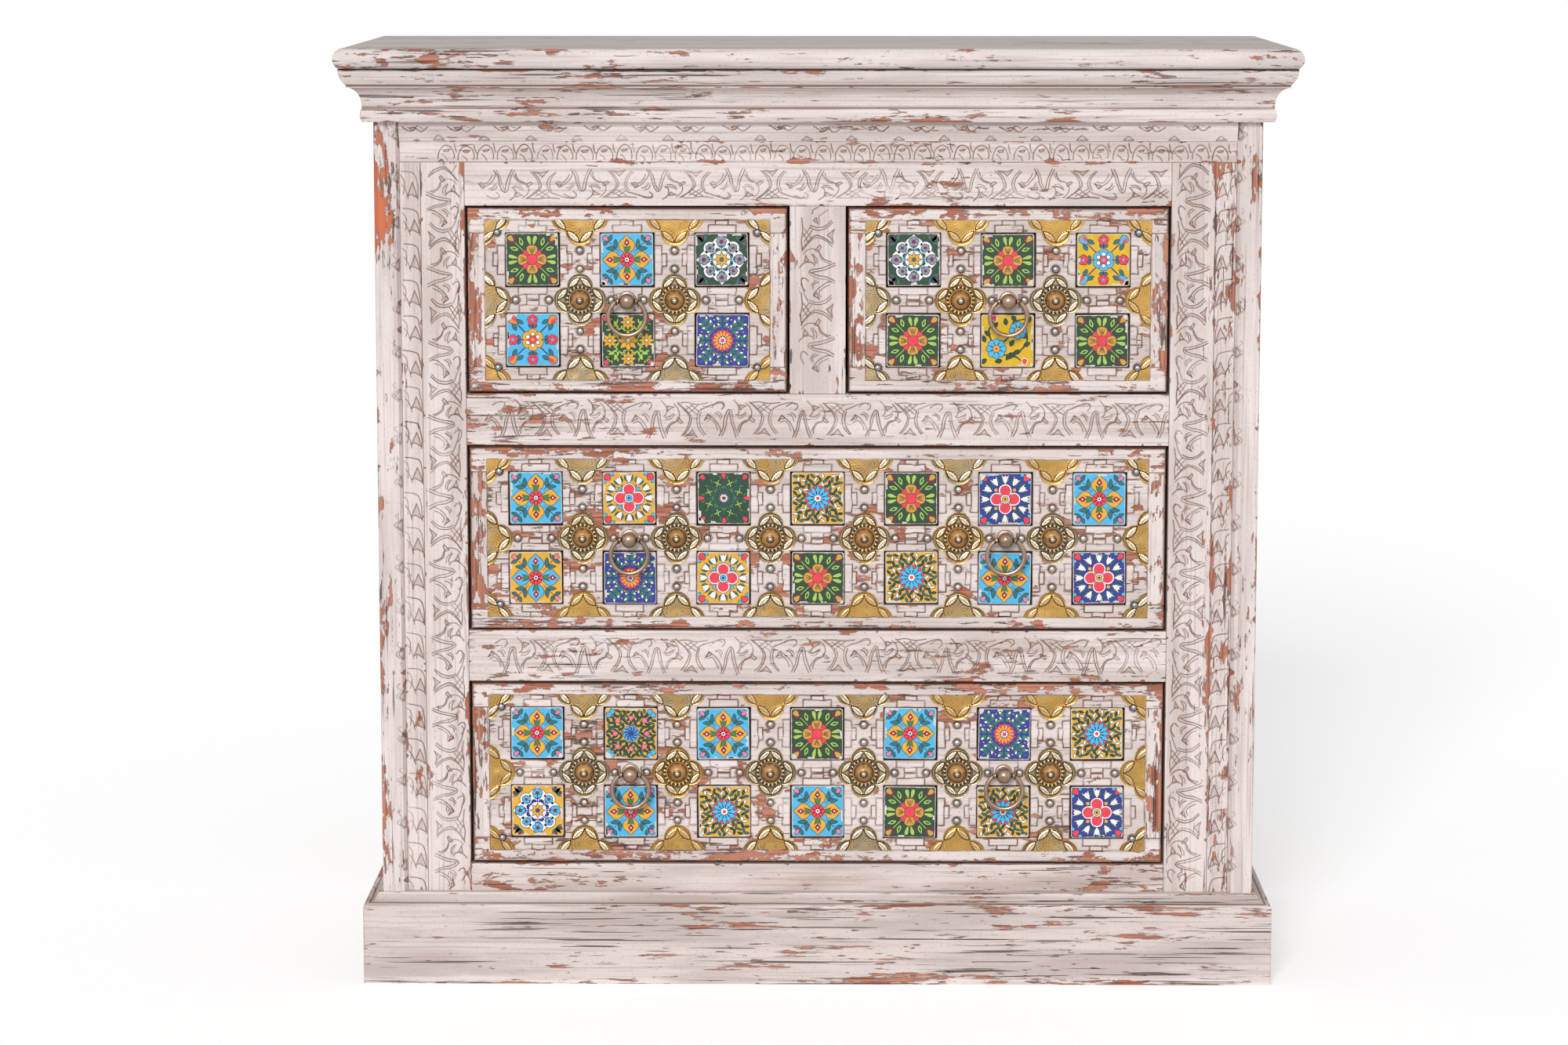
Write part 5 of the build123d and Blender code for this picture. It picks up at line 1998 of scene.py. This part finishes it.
    def radial(self) -> None:
        """Fine lines from a small daisy on dark green, with red buds and lime hooks."""
        self.ground(FOREST)
        self.fan(8, COBALT, None, brushed([(0, 0.12), (0, 0.95)], 0.013))
        self.fan(16, TEAL, None, brushed([(0, 0.12), (0, 0.6)], 0.012))
        tips = [turned(leaf(0, 0.17, 0.03), turn, (0.1, at)) for turn, at in ((-25, 0.72), (40, 0.36))]
        self.both(8, LEAF, None, *tips)
        self.both(8, LIME, None, brushed([(0.1, 0.5), (0.19, 0.54), (0.22, 0.63), (0.17, 0.7)], 0.016))
        self.fan(4, RED, MAROON, round_petal(0.76, 0.96, 0.08))
        self.corners(RED, MAROON, round_petal(1.04, 1.24, 0.08))
        self.fan(12, WHITE, MAROON, leaf(0.03, 0.17, 0.03))
        self.lay(MAROON, None, disc(0.07, 10))

    def _thicket(self, clear: float, step: float, glazes: Sequence[Glaze]) -> None:
        """Lays rings of small leaves round a clearing.

        Args:
            clear: the clearing's radius.
            step: the distance between leaves.
            glazes: the leaves' glazes, in turn.
        """
        blade = leaf(-0.55 * step, 0.65 * step, 0.21 * step)
        groups: dict[Glaze, list[Array]] = {glaze: [] for glaze in glazes}
        for ring, radius in enumerate(np.arange(clear + 0.4 * step, 1.35, 0.82 * step)):
            count = 4 * round(math.tau * radius / (4 * step))
            for i in range(count):
                turn = math.tau * (i + 0.5 * (ring % 2)) / count
                place = (radius * math.sin(turn), radius * math.cos(turn))
                if max(map(abs, place)) < 0.93:
                    lean = 38 if (i + ring) % 2 else -38
                    glaze = glazes[(i + 2 * ring) % len(glazes)]
                    groups[glaze].append(turned(blade, lean - math.degrees(turn), place))
        for glaze, leaves in groups.items():
            self.lay(glaze, LINE, *leaves)

    def lattice(self) -> None:
        """Small leaves with white flecks round a blue daisy, on yellow."""
        self.ground(YELLOW)
        self._thicket(0.5, 0.19, (FOREST, WHITE, FOREST, TEAL))
        self.lay(RED, LINE, *around(disc(0.07, 8, (0, 0.42)), 12, 15))
        self.fan(12, SKY, NAVY, leaf(0.08, 0.5, 0.085))
        self.lay(WHITE, LINE, disc(0.13))
        self.lay(RED, None, disc(0.07, 8))

    def pinwheel(self) -> None:
        """A blue pinwheel disc on yellow, with dense vines, and blue florets in the corners."""
        self.ground(YELLOW)
        self._thicket(0.36, 0.18, (FOREST, FOREST, FOREST, TEAL))
        self.both(4, FOREST, None, brushed([(0.0, 0.3), (0.2, 0.46), (0.28, 0.72), (0.12, 0.9)], 0.03))
        self.fan(4, PINK, MAROON, round_petal(0.51, 0.69, 0.09))
        self.corners(PINK, MAROON, round_petal(0.63, 0.81, 0.09))
        self.corners(SKY, LINE, *(disc(0.1, 8, (u, 1.12)) for u in (-0.09, 0.09)))
        self.lay(SKY, NAVY, disc(0.3, 20))
        self.fan(10, COBALT, None, brushed([(0.02, 0.04), (0.12, 0.14), (0.09, 0.26)], 0.035))
        self.lay(COBALT, LINE, disc(0.06, 10))

    def paint(self, letter: str) -> None:
        """Makes the whole tile.

        Args:
            letter: which design it has.
        """
        designs = {
            "A": (self.four_petals, ()),
            "B": (self.ogee_petals, ()),
            "C": (self.medallion, ()),
            "D": (self.blossom, ()),
            "E": (self.five_daisies, ()),
            "F": (self.sunburst, ()),
            "G": (self.blossom, (LEMON, SKY, SKY)),
            "H": (self.two_blooms, ()),
            "I": (self.quatrefoil, ()),
            "J": (self.radial, ()),
            "K": (self.lattice, ()),
            "L": (self.quatrefoil, (COBALT, YELLOW)),
            "M": (self.ogee_petals, (YELLOW, SKY)),
            "N": (self.pinwheel, ()),
            "O": (self.medallion, (YELLOW, SKY, COBALT)),
        }
        self._body()
        draw, glazes = designs[letter]
        draw(*glazes)
        self.wear()


# ---------------------------------------------------------------- metalwork


RingShape = tuple[float, float, float]


def lathe(
    maker: MeshMaker, centre: Place, profile: Sequence[RingShape], steps: int, tint: float, side: int = 0
) -> None:
    """Adds a turned shape whose axis runs along -Y, or sideways.

    Args:
        maker: the piece.
        centre: a point on the axis, from which heights count.
        profile: radius, height and patina at each ring, from its foot to its head.
        steps: points in each ring.
        tint: how dull the metal is.
        side: -1 if its head points left, 1 if it points right.
    """
    radius, height, patina = np.array(profile).T
    turn = np.linspace(0, 2 * math.pi, steps, endpoint=False)
    across, up = radius[:, None] * np.cos(turn), centre[2] + radius[:, None] * np.sin(turn)
    if side:
        along = np.broadcast_to(centre[0] + side * height[:, None], up.shape)
        rings = np.stack([along, centre[1] + across, up], -1)
    else:
        along = np.broadcast_to(centre[1] - height[:, None], up.shape)
        rings = np.stack([centre[0] + across, along, up], -1)
    maker.tube(rings, side < 0, patina=np.repeat(patina, steps), tint=tint)


def dome_profile(radius: float, height: float, rings: int = 6) -> list[RingShape]:
    """Profile of a domed cap.

    Args:
        radius: its radius at the foot.
        height: how high it stands.
        rings: how many rings it has.

    Returns:
        Radius, height and patina of each ring.
    """
    sphere = (radius**2 + height**2) / (2 * height)
    tilt = math.asin(min(1.0, radius / sphere))
    tilt = math.pi - tilt if height > sphere else tilt
    turns = np.linspace(tilt, 0.06, rings)
    patina = 0.85 * np.linspace(1, 0, rings) ** 2
    return list(zip(sphere * np.sin(turns), height - sphere + sphere * np.cos(turns), patina))


@dataclass(frozen=True)
class Lobes:
    """A pressed plate's figure: four lobes round a middle."""

    radius: float = 12.5 * MM
    offset: float = 13 * MM
    leaf: tuple[Point, Point] = ((10.6 * MM, 12.6 * MM), (0.7 * MM, 21.4 * MM))
    leaf_width: float = 2.5 * MM
    leaf_height: float = 1.3 * MM
    bead_ring: float = 12.3 * MM
    bead_radius: float = 1.1 * MM
    beads: int = 20

    def reach(self, origin: Point, angles: Array) -> Array:
        """How far the figure reaches from a point inside it.

        Args:
            origin: the point.
            angles: directions.

        Returns:
            The distance in each direction.
        """
        away = np.linspace(0, 2.2 * self.offset, 260)[None, :]
        u = origin[0] + away * np.cos(angles)[:, None]
        v = origin[1] + away * np.sin(angles)[:, None]
        inside = np.abs(u) + np.abs(v) < 1.3 * self.offset
        for a, b in ((1, 0), (-1, 0), (0, 1), (0, -1)):
            inside |= np.hypot(u - a * self.offset, v - b * self.offset) < self.radius
        return np.where(inside, away, 0).max(1)

    def relief(self, u: Array, v: Array, has_beads: bool) -> tuple[Array, Array]:
        """The pressed pattern.

        Args:
            u: distances right of the figure's middle.
            v: distances above it.
            has_beads: whether a ring of beads surrounds the middle.

        Returns:
            Height and patina at each point. The raised leaves and beads get negative patina, painted pale:
            partly polish, partly a painted highlight.
        """
        scale = self.offset / (13 * MM)
        height, patina, polish_and_highlight = np.zeros_like(u), np.zeros_like(u), np.zeros_like(u)
        begin, stop = (np.array(end) * scale for end in self.leaf)
        axis = stop - begin
        for turn in range(4):
            c, s = math.cos(turn * math.pi / 2), math.sin(turn * math.pi / 2)
            a, b = np.abs(c * u + s * v) - begin[0], -s * u + c * v - begin[1]
            share = (a * axis[0] + b * axis[1]) / (axis @ axis)
            away = np.abs(a * axis[1] - b * axis[0]) / np.hypot(*axis)
            width = self.leaf_width * scale * np.sin(math.pi * np.clip(share, 0, 1)) ** 0.7 + 1e-9
            on = (share > 0) & (share < 1) & (away < 1.2 * width)
            rise = self.leaf_height * np.sqrt(np.clip(1 - (away / width) ** 2, 0, 1))
            vein = bell(away, 0.4 * MM) * smooth(width, 1.2 * MM, 1.8 * MM)
            height = np.where(on, np.maximum(height, rise - 0.5 * MM * vein), height)
            near = (share > -0.06) & (share < 1.06)
            edge = bell(away - width - 0.25 * MM, 0.6 * MM)
            patina = np.maximum(patina, np.where(near, np.maximum(edge, 0.7 * on * vein), 0))
            polish_and_highlight = np.maximum(polish_and_highlight, on)
        if has_beads:
            radius, turn = np.hypot(u, v), np.arctan2(v, u)
            along = (turn * self.beads / (2 * math.pi)) % 1 - 0.5
            away = np.hypot(along * 2 * math.pi * self.bead_ring / self.beads, radius - self.bead_ring)
            height = np.maximum(height, 1.1 * self.bead_radius * smooth(-away, -self.bead_radius, 0))
            gap = bell(radius - self.bead_ring, 1.6 * MM) * smooth(away, 0.8 * MM, 1.2 * MM)
            hollow = 0.5 * smooth(radius, self.bead_ring, self.bead_ring + 2 * MM) * (polish_and_highlight < 0.5)
            patina = np.maximum(patina, np.maximum(gap, hollow * smooth(-radius, -17 * MM, -15 * MM)))
            polish_and_highlight = np.maximum(polish_and_highlight, smooth(-away, -0.9 * MM, -0.3 * MM))
        return height, np.where(patina > 0.3, patina, -polish_and_highlight)


@dataclass
class Plate:
    """One pressed plate, whole or cut along the field's edge, in polar rings about its middle or corner."""

    figure: Lobes
    origin: Point
    angles: Point
    columns: int
    rings: int
    is_whole: bool = False
    thickness: float = 0.55 * MM
    rim_width: float = 1.3 * MM
    sunk: float = 0.1 * MM
    engraved: int = 22

    def add(self, maker: MeshMaker, place: Place, turn: float, rng: Rng) -> None:
        """Adds the plate to a piece.

        Args:
            maker: the piece.
            place: where the figure's middle goes, as (x, y, z) on the wood's surface.
            turn: how far it is turned, in degrees.
            rng: the random source.
        """
        angles = np.linspace(*self.angles, self.columns, endpoint=not self.is_whole)
        reach = self.figure.reach(self.origin, angles) * (1 + 0.006 * rng.normal(size=self.columns))
        shares = np.concatenate([np.linspace(0.05, 0.9, self.rings - 4), [0.94, 0.965, 0.985, 1.0]])[:, None]
        u = self.origin[0] + shares * reach * np.cos(angles)
        v = self.origin[1] + shares * reach * np.sin(angles)
        height, patina = self.figure.relief(u, v, self.is_whole)
        from_edge = reach * (1 - shares)
        rim = smooth(-from_edge, -self.rim_width, -0.4 * self.rim_width)
        height = height * smooth(from_edge, 0.3 * MM, 1.6 * MM)
        height = height + 0.45 * MM * rim * smooth(from_edge, 0, 0.4 * MM)
        crease = 0.7 * bell(from_edge - 1.25 * self.rim_width, 0.45 * MM)
        patina = np.where((crease > 0.2) & (patina > -0.5), np.maximum(patina, crease), patina)
        if not self.is_whole:
            echo = bell(from_edge - 4.6 * MM, 0.35 * MM)
            waves = np.cos(self.engraved * angles + 40 * shares**2)
            fan = smooth(waves, 0.55, 0.9) * smooth(shares, 0.2, 0.4)
            lines = np.maximum(0.75 * echo, 0.55 * fan * smooth(from_edge, 5 * MM, 6 * MM))
            height = height - 0.12 * MM * lines
            patina = np.where(patina > -0.5, np.maximum(patina, lines), patina)
        # The rim gets patina 0.2: a painted shade along the plate's edge, darkening it.
        patina = np.where(rim > 0.5, 0.2, patina)
        span = np.linspace(0, 60 * MM, 64)
        crumple = soft_noise(span, span, (9 * MM, 9 * MM), rng)
        column, row = (np.clip(((w + 0.03) / 0.06 * 63).astype(int), 0, 63) for w in (u, v))
        height = height + self.thickness + 0.22 * MM * (1 + crumple[row, column]) * (shares < 0.999)
        tint = rng.uniform(0.2, 0.9) if self.is_whole else rng.uniform(-0.4, 0.7)
        if not self.is_whole and tint < 0.15:
            patina = patina * np.where(patina < 0, 0.35, 0.75)
        height[-1] *= 0.5
        rows, count = self.rings + 1, self.columns
        height = np.vstack([height, np.full((1, count), -self.sunk)])
        patina = np.clip(np.vstack([patina, np.ones((1, count))]), -1, 1)
        flat = np.stack([np.vstack([w, w[-1:]]).ravel() for w in (u, v)], -1)
        flat = turned(np.vstack([flat, self.origin, self.origin]), turn)
        heights = np.concatenate([height.ravel(), [height[0].mean(), -self.sunk]])
        points = np.stack([place[0] + flat[:, 0], place[1] - heights, place[2] + flat[:, 1]], -1)
        top, foot = rows * count, rows * count + 1
        number = np.arange(rows * count).reshape(rows, count)
        outer = number[-1, ::-1]
        if self.is_whole:
            quads = ring_quads(rows, count)[:, ::-1]
            others = [[top, i, (i + 1) % count] for i in range(count)] + [outer]
        else:
            quads = grid_quads(rows, count)[:, ::-1]
            others = [[top, i, i + 1] for i in range(count - 1)] + [[foot, *outer]]
            others += [[top, foot, *number[::-1, 0]], [foot, top, *number[:, -1]]]
        maker.add(points, quads, others, patina=np.concatenate([patina.ravel(), [0, 0]]), tint=tint)


@dataclass
class Brasswork:
    """Pressed plates, bosses and domed nails of one drawer front."""

    plan: FrontPlan
    shift: float = 3 * MM
    plate_thickness: float = 0.8 * MM
    boss_radius: float = 10 * MM
    boss_height: float = 7.5 * MM
    nail: Point = (3.7 * MM, 2.6 * MM)
    boss_nail: Point = (2.6 * MM, 2.0 * MM)
    shank: Point = (1.0 * MM, 10 * MM)

    def _nail(self, maker: MeshMaker, centre: Place, size: Point, length: float, tint: float) -> None:
        """Adds one domed nail.

        Args:
            maker: the piece.
            centre: the middle of its head's underside.
            size: its head's radius and height.
            length: its shank's length.
            tint: how grey its metal is.
        """
        radius = self.shank[0]
        profile = [(radius * 0.3, -length, 0.5), (radius, 2 * radius - length, 0.5), (radius, 0, 0.5)]
        lathe(maker, centre, [*profile, *dome_profile(*size)], 20, tint)

    def _boss(self, bosses: MeshMaker, nails: MeshMaker, x: float, rng: Rng) -> None:
        """Adds one boss, and the nail through it.

        Args:
            bosses: the bosses' piece.
            nails: the nails' piece.
            x: how far right of the front's middle it sits.
            rng: the random source.
        """
        seat = self.plan.spot(x, self.plan.field_depth - self.plate_thickness, 0)
        profile = [(self.boss_radius * 0.96, 0.0, 1.0), (self.boss_radius, 0.25 * MM, 0.9)]
        for radius, height, patina in dome_profile(self.boss_radius * 0.97, self.boss_height, 14)[1:]:
            dark = 0.6 * patina**2 + 0.8 * bell(radius - 3.4 * MM, 0.6 * MM)
            profile.append((radius, height, min(dark, 1.0)))
        lathe(bosses, seat, profile, 40, rng.uniform(-0.1, 0.4))
        head = (seat[0], seat[1] - self.boss_height, seat[2])
        self._nail(nails, head, self.boss_nail, self.shank[1] + self.boss_height, rng.uniform(-0.2, 0.5))

    def build(self, finishes: "Finishes") -> None:
        """Makes the plates with their bosses, and the nails.

        Args:
            finishes: the drawers' finishes.
        """
        name, depth = self.plan.name, self.plan.field_depth
        rng = dice(f"{name}_brass")
        wide, high = (s + self.shift for s in self.plan.field_half)
        big, quarter = Lobes(13.5 * MM, 14.5 * MM), math.pi / 2
        whole = Plate(Lobes(), (0, 0), (0, 4 * quarter), 176, 34, True)
        half = Plate(big, (0, -self.shift), (2 * quarter, 4 * quarter), 104, 30)
        corner = Plate(big, (self.shift, -self.shift), (3 * quarter, 4 * quarter), 60, 30)
        plates, bosses, nails = (MeshMaker("patina", "tint") for _ in range(3))
        for x in self.plan.rosettes:
            whole.add(plates, self.plan.spot(x, depth, 0), 0, rng)
            half.add(plates, self.plan.spot(x, depth, high), 0, rng)
            half.add(plates, self.plan.spot(x, depth, -high), 180, rng)
            self._boss(bosses, nails, x, rng)
        half.add(plates, self.plan.spot(-wide, depth, 0), 90, rng)
        half.add(plates, self.plan.spot(wide, depth, 0), -90, rng)
        for a, b, turn in ((-1, 1, 0), (1, 1, -90), (1, -1, 180), (-1, -1, 90)):
            corner.add(plates, self.plan.spot(a * wide, depth, b * high), turn, rng)
        for x, z, is_through_plate in self.plan.nails:
            tint = rng.uniform(0.7, 1.2) if is_through_plate else rng.uniform(-0.3, 0.5)
            seat = self.plan.spot(x, depth - self.plate_thickness * is_through_plate, z)
            self._nail(nails, seat, self.nail, self.shank[1], tint)
        node = f"{name}_brasswork"
        plates.settle(f"{name}_plates", finishes.brass, name, "brass_plate", node, 60)
        bosses.settle(f"{name}_bosses", finishes.boss_bronze, name, "brass_plate", node, 60)
        nails.settle(f"{name}_domed_nails", finishes.nail_brass, name, "nail_metal", f"{name}_nails", 60)


@dataclass
class Pulls:
    """Ball pulls of one drawer, each with a ring that swings in the ball's sides."""

    plan: FrontPlan
    seat_depth: float = 0.2 * MM
    stand_off: float = 13 * MM
    plate: Point = (8.75 * MM, 2.0 * MM)
    neck: float = 3.5 * MM
    ball: float = 7.7 * MM
    bolt: Point = (2.0 * MM, 24.6 * MM)
    nut_across: float = 8 * MM
    nut: Point = (19.8 * MM, 23.0 * MM)
    ring_radius: float = 17.8 * MM
    wire: float = 2.2 * MM
    wire_steps: tuple[int, int] = (72, 14)
    collar: tuple[float, float, float] = (3.0 * MM, 0.3 * MM, 1.6 * MM)
    pin: float = 1.6 * MM

    def _knob(self, maker: MeshMaker, seat: Place, rng: Rng) -> None:
        """Adds one backplate, neck, ball and bolt, and the nut behind the front.

        Args:
            maker: the piece.
            seat: where its backplate sits.
            rng: the random source.
        """
        (radius, thick), (bolt, length) = self.plate, self.bolt
        profile = [(bolt * 0.8, -length, 0.6), (bolt, -length + 0.4 * MM, 0.6), (bolt, 0.0, 0.8)]
        profile += [(radius, 0.0, 1.0), (radius, thick * 0.4, 0.4), (radius - 0.35 * MM, thick * 0.8, 0.0)]
        profile += [(radius - 1.2 * MM, thick, 0.1), (radius * 0.68, thick, 0.5)]
        profile += [(radius * 0.6, thick * 1.05, 0.95), (self.neck * 1.25, thick * 1.3, 0.4)]
        start = math.pi - math.asin(self.neck / self.ball)
        profile += [(self.neck, self.stand_off + self.ball * math.cos(start) - 0.3 * MM, 0.9)]
        for turn in np.linspace(start, 0.05, 18):
            shade = 0.9 * max(0.0, (turn - 2.2)) + 0.35 * bell(turn - 0.42, 0.05)
            level = min(self.ball * math.cos(turn), self.ball * 0.975)
            profile.append((self.ball * math.sin(turn), self.stand_off + level, min(shade, 1.0)))
        lathe(maker, seat, profile, 36, rng.uniform(0.0, 0.4))
        across = self.nut_across / 2 / math.cos(math.pi / 6)
        low, high = -self.nut[1], -self.nut[0]
        nut = [(across * 0.9, low, 0.4), (across, low + 0.5 * MM, 0.2)]
        nut += [(across, high, 0.5), (across * 0.5, high, 0.5)]
        lathe(maker, seat, nut, 6, 0.8)

    def _ring(self, maker: MeshMaker, pivot: Place, rng: Rng) -> None:
        """Adds one ring with its collars and pins.

        Args:
            maker: the piece.
            pivot: the middle of the ball.
            rng: the random source.
        """
        wide, gap, long = self.collar
        length, girth = self.wire_steps
        near = self.ball + gap
        half_chord = near + long
        drop = math.sqrt(self.ring_radius**2 - half_chord**2)
        first = math.atan2(drop, -half_chord)
        turns = np.linspace(first, 3 * math.pi - first, length)[:, None]
        wire = np.linspace(0, 2 * math.pi, girth, endpoint=False)
        radius = self.ring_radius + self.wire * np.cos(wire)
        x = pivot[0] + radius * np.cos(turns)
        y = np.broadcast_to(pivot[1] + self.wire * np.sin(wire), x.shape)
        rings = np.stack([x, y, pivot[2] - drop + radius * np.sin(turns)], -1)
        tint = rng.uniform(0.0, 0.35)
        ends = 0.6 * bell(np.abs(np.linspace(-1, 1, length)) - 1, 0.06)
        patina = np.tile(0.25 * np.clip(-np.cos(wire), 0, 1), length) + np.repeat(ends, girth)
        maker.tube(rings, patina=np.clip(patina, 0, 1), tint=tint)
        profile = [(self.pin, self.ball - 0.4 * MM, 0.6), (self.pin, near, 0.9), (wide * 0.85, near, 0.7)]
        profile += [(wide, near + 0.3 * MM, 0.1), (wide, half_chord - 0.3 * MM, 0.1)]
        profile.append((wide * 0.9, half_chord, 0.4))
        for turn in np.linspace(math.pi / 2, 0.2, 5):
            profile.append((self.wire * math.sin(turn), half_chord + self.wire * math.cos(turn), 0.1))
        for side in (-1, 1):
            lathe(maker, pivot, profile, 20, tint, side)

    def build(self, bronze: Material) -> None:
        """Makes the knobs as one piece, and each ring.

        Args:
            bronze: their finish.
        """
        name = self.plan.name
        rng = dice(f"{name}_pulls")
        knobs = MeshMaker("patina", "tint")
        for x, ring in zip(self.plan.pull_x, self.plan.rings):
            self._knob(knobs, self.plan.spot(x, self.seat_depth, 0), rng)
            maker = MeshMaker("patina", "tint")
            self._ring(maker, self.plan.spot(x, self.seat_depth - self.stand_off, 0), rng)
            maker.settle(f"{ring}_turned", bronze, ring, "pull_metal", ring, 50)
        knobs.settle(f"{name}_knobs", bronze, name, "pull_metal", f"{name}_pull_knobs", 50)


# ---------------------------------------------------------------- drawers


class Finishes:
    """The finishes that all drawers share."""

    def __init__(self) -> None:
        """Makes them."""
        self.glaze = PaintedGlaze().material()
        self.brass = AgedMetal("pressed_brass", "CDA25C", "AE9E80", "3C2E20", "FBEFD8", 520).material()
        self.bronze = AgedMetal("bronze", "AE9480", "77675A", "241A14", "EAD6C6").material()
        self.boss_bronze = AgedMetal("boss_bronze", "BE9262", "8E6C48", "33241A", "EACB9F").material()
        self.nail_brass = AgedMetal("nail_brass", "D0C6B8", "A2A4AC", "332A24", "F6F0E6", 800).material()
        self.box_walls = BareWood("drawer_wood", GrainAxis.ALONG_Y, has_cross_panels=True).material()
        self.box_bottom = BareWood("drawer_bottom_wood", GrainAxis.ALONG_X, "BC9870", "8C6848").material()


@dataclass
class Drawer:
    """One drawer: carved front, tiles, metalwork, and its plain box."""

    plan: FrontPlan
    paint: DistressedPaint
    finishes: Finishes
    tile_depth: float = 1.6 * MM

    def _tiles(self) -> None:
        """Makes the tiles, each its own piece."""
        name = self.plan.name
        for i, (letter, x, z) in enumerate(self.plan.tiles):
            piece = f"{name}_tile_{i + 1}"
            rng = dice(piece)
            shift_x, shift_z = rng.uniform(0.25, 0.5, 2) * rng.choice([-1, 1], 2) * MM
            maker = MeshMaker("glaze", "worn")
            Tile(maker, self.plan.spot(x + shift_x, self.tile_depth, z + shift_z), rng).paint(letter)
            maker.settle(piece, self.finishes.glaze, name, "glazed_tile", f"{name}_tiles", 30)

    def build(self) -> None:
        """Makes the whole drawer."""
        CarvedFront(self.plan).build(self.paint.material())
        self._tiles()
        Brasswork(self.plan).build(self.finishes)
        Pulls(self.plan).build(self.finishes.bronze)
        keep_as_built(f"{self.plan.name}_box_walls", self.finishes.box_walls)
        keep_as_built(f"{self.plan.name}_box_bottom", self.finishes.box_bottom)


def drawers(finishes: Finishes) -> list[Drawer]:
    """The four drawers, from the top.

    Args:
        finishes: the finishes that they share.

    Returns:
        The drawers.
    """
    plans = [
        FrontPlan("left_drawer", ("ABC", "DEF"), (0.0,), ("left_drawer_ring",)),
        FrontPlan("right_drawer", ("CAG", "AHA"), (0.0,), ("right_drawer_ring",)),
    ]
    for name, rows in (("middle_drawer", ("BIJKALB", "MFIAKBL")), ("bottom_drawer", ("BNBABFK", "OBKBAKL"))):
        rings = (f"{name}_ring_left", f"{name}_ring_right")
        plans.append(FrontPlan(name, rows, (-182 * MM, 182 * MM), rings))
    made = []
    for i, plan in enumerate(plans):
        name, drift = f"whitewash_{plan.name}", 0.17 + 0.41 * i
        paint = DistressedPaint(
            name, GrainAxis.ALONG_X, 0.46, 0.38, drift, drawn_out=0.5, has_upright_parts=True
        )
        made.append(Drawer(plan, paint, finishes))
    return made


# ---------------------------------------------------------------- studio


@dataclass
class Studio:
    """Pale floor, soft light and the camera."""

    floor_half: float = 9.0
    floor_tone: float = 0.94
    floor_glow: float = 0.3
    sky: float = 0.5
    sun_energy: float = 1.9
    sun_angle: float = math.radians(18)
    sun_from: Point = (math.radians(10), math.radians(24))
    camera_place: Place = (9.8 * MM, -4332.5 * MM, 1043.7 * MM)
    camera_turn: Place = (math.radians(81.92), 0.0, math.radians(0.58))
    lens: float = 99.7

    def _floor(self) -> None:
        """Makes the floor."""
        mesh = bpy.data.meshes.new("studio_floor")
        h = self.floor_half
        mesh.from_pydata([(-h, -h, 0), (h, -h, 0), (h, h, 0), (-h, h, 0)], [], [(0, 1, 2, 3)])
        floor = bpy.data.objects.new("studio_floor", mesh)
        bpy.context.scene.collection.objects.link(floor)
        graph = Graph(bpy.data.materials.new("studio_floor"))
        glow = graph.node("LightPath", "Is Camera Ray", {}) * self.floor_glow
        graph.dress(Emission_Color=(1, 1, 1, 1), Emission_Strength=glow)
        tone = (self.floor_tone, self.floor_tone, self.floor_tone, 1)
        mesh.materials.append(graph.dress(Base_Color=tone, Roughness=0.9, Specular_IOR_Level=0.0))

    def _world(self) -> None:
        """Lights the scene from all round, and shows white behind it."""
        world = bpy.data.worlds.new("studio")
        bpy.context.scene.world = world
        graph = Graph(world)
        path = graph.nodes.new("ShaderNodeLightPath").outputs
        kinds = ("Camera", "Glossy", "Transmission")
        camera, glossy, clear = (Value(graph, path[f"Is {kind} Ray"]) for kind in kinds)
        seen = graph.math("MAXIMUM", graph.math("MAXIMUM", camera, glossy), clear)
        strength = graph.node("MapRange", "Result", {"Value": seen, "To Min": self.sky, "To Max": 1.0})
        graph.dress(Color=(1, 1, 1, 1), Strength=strength)

    def _lamp(self) -> None:
        """Adds the soft key light, high on the front left."""
        light = bpy.data.lights.new("key_light", "SUN")
        light.energy, light.angle = self.sun_energy, self.sun_angle
        lamp = bpy.data.objects.new("key_light", light)
        azimuth, height = self.sun_from
        lamp.rotation_euler = (math.pi / 2 - height, 0.0, -azimuth)
        bpy.context.scene.collection.objects.link(lamp)

    def _camera(self) -> None:
        """Places the camera."""
        data = bpy.data.cameras.new("camera")
        data.lens = self.lens
        camera = bpy.data.objects.new("camera", data)
        camera.location, camera.rotation_euler = self.camera_place, self.camera_turn
        bpy.context.scene.collection.objects.link(camera)
        bpy.context.scene.camera = camera

    def build(self) -> None:
        """Makes the studio."""
        self._floor()
        self._world()
        self._lamp()
        self._camera()
        bpy.context.scene.view_settings.view_transform = "Standard"


def main() -> None:
    """Builds the chest part by part, then the studio."""
    logging.basicConfig(level=logging.INFO, format="%(message)s")
    parts = [CarvedFrame(), OuterFrame(), Carcass(), Crown(), Plinth(), *drawers(Finishes()), Studio()]
    for part in parts:
        log.info("-- %s", type(part).__name__)
        part.build()


if __name__ == "__main__":
    main()
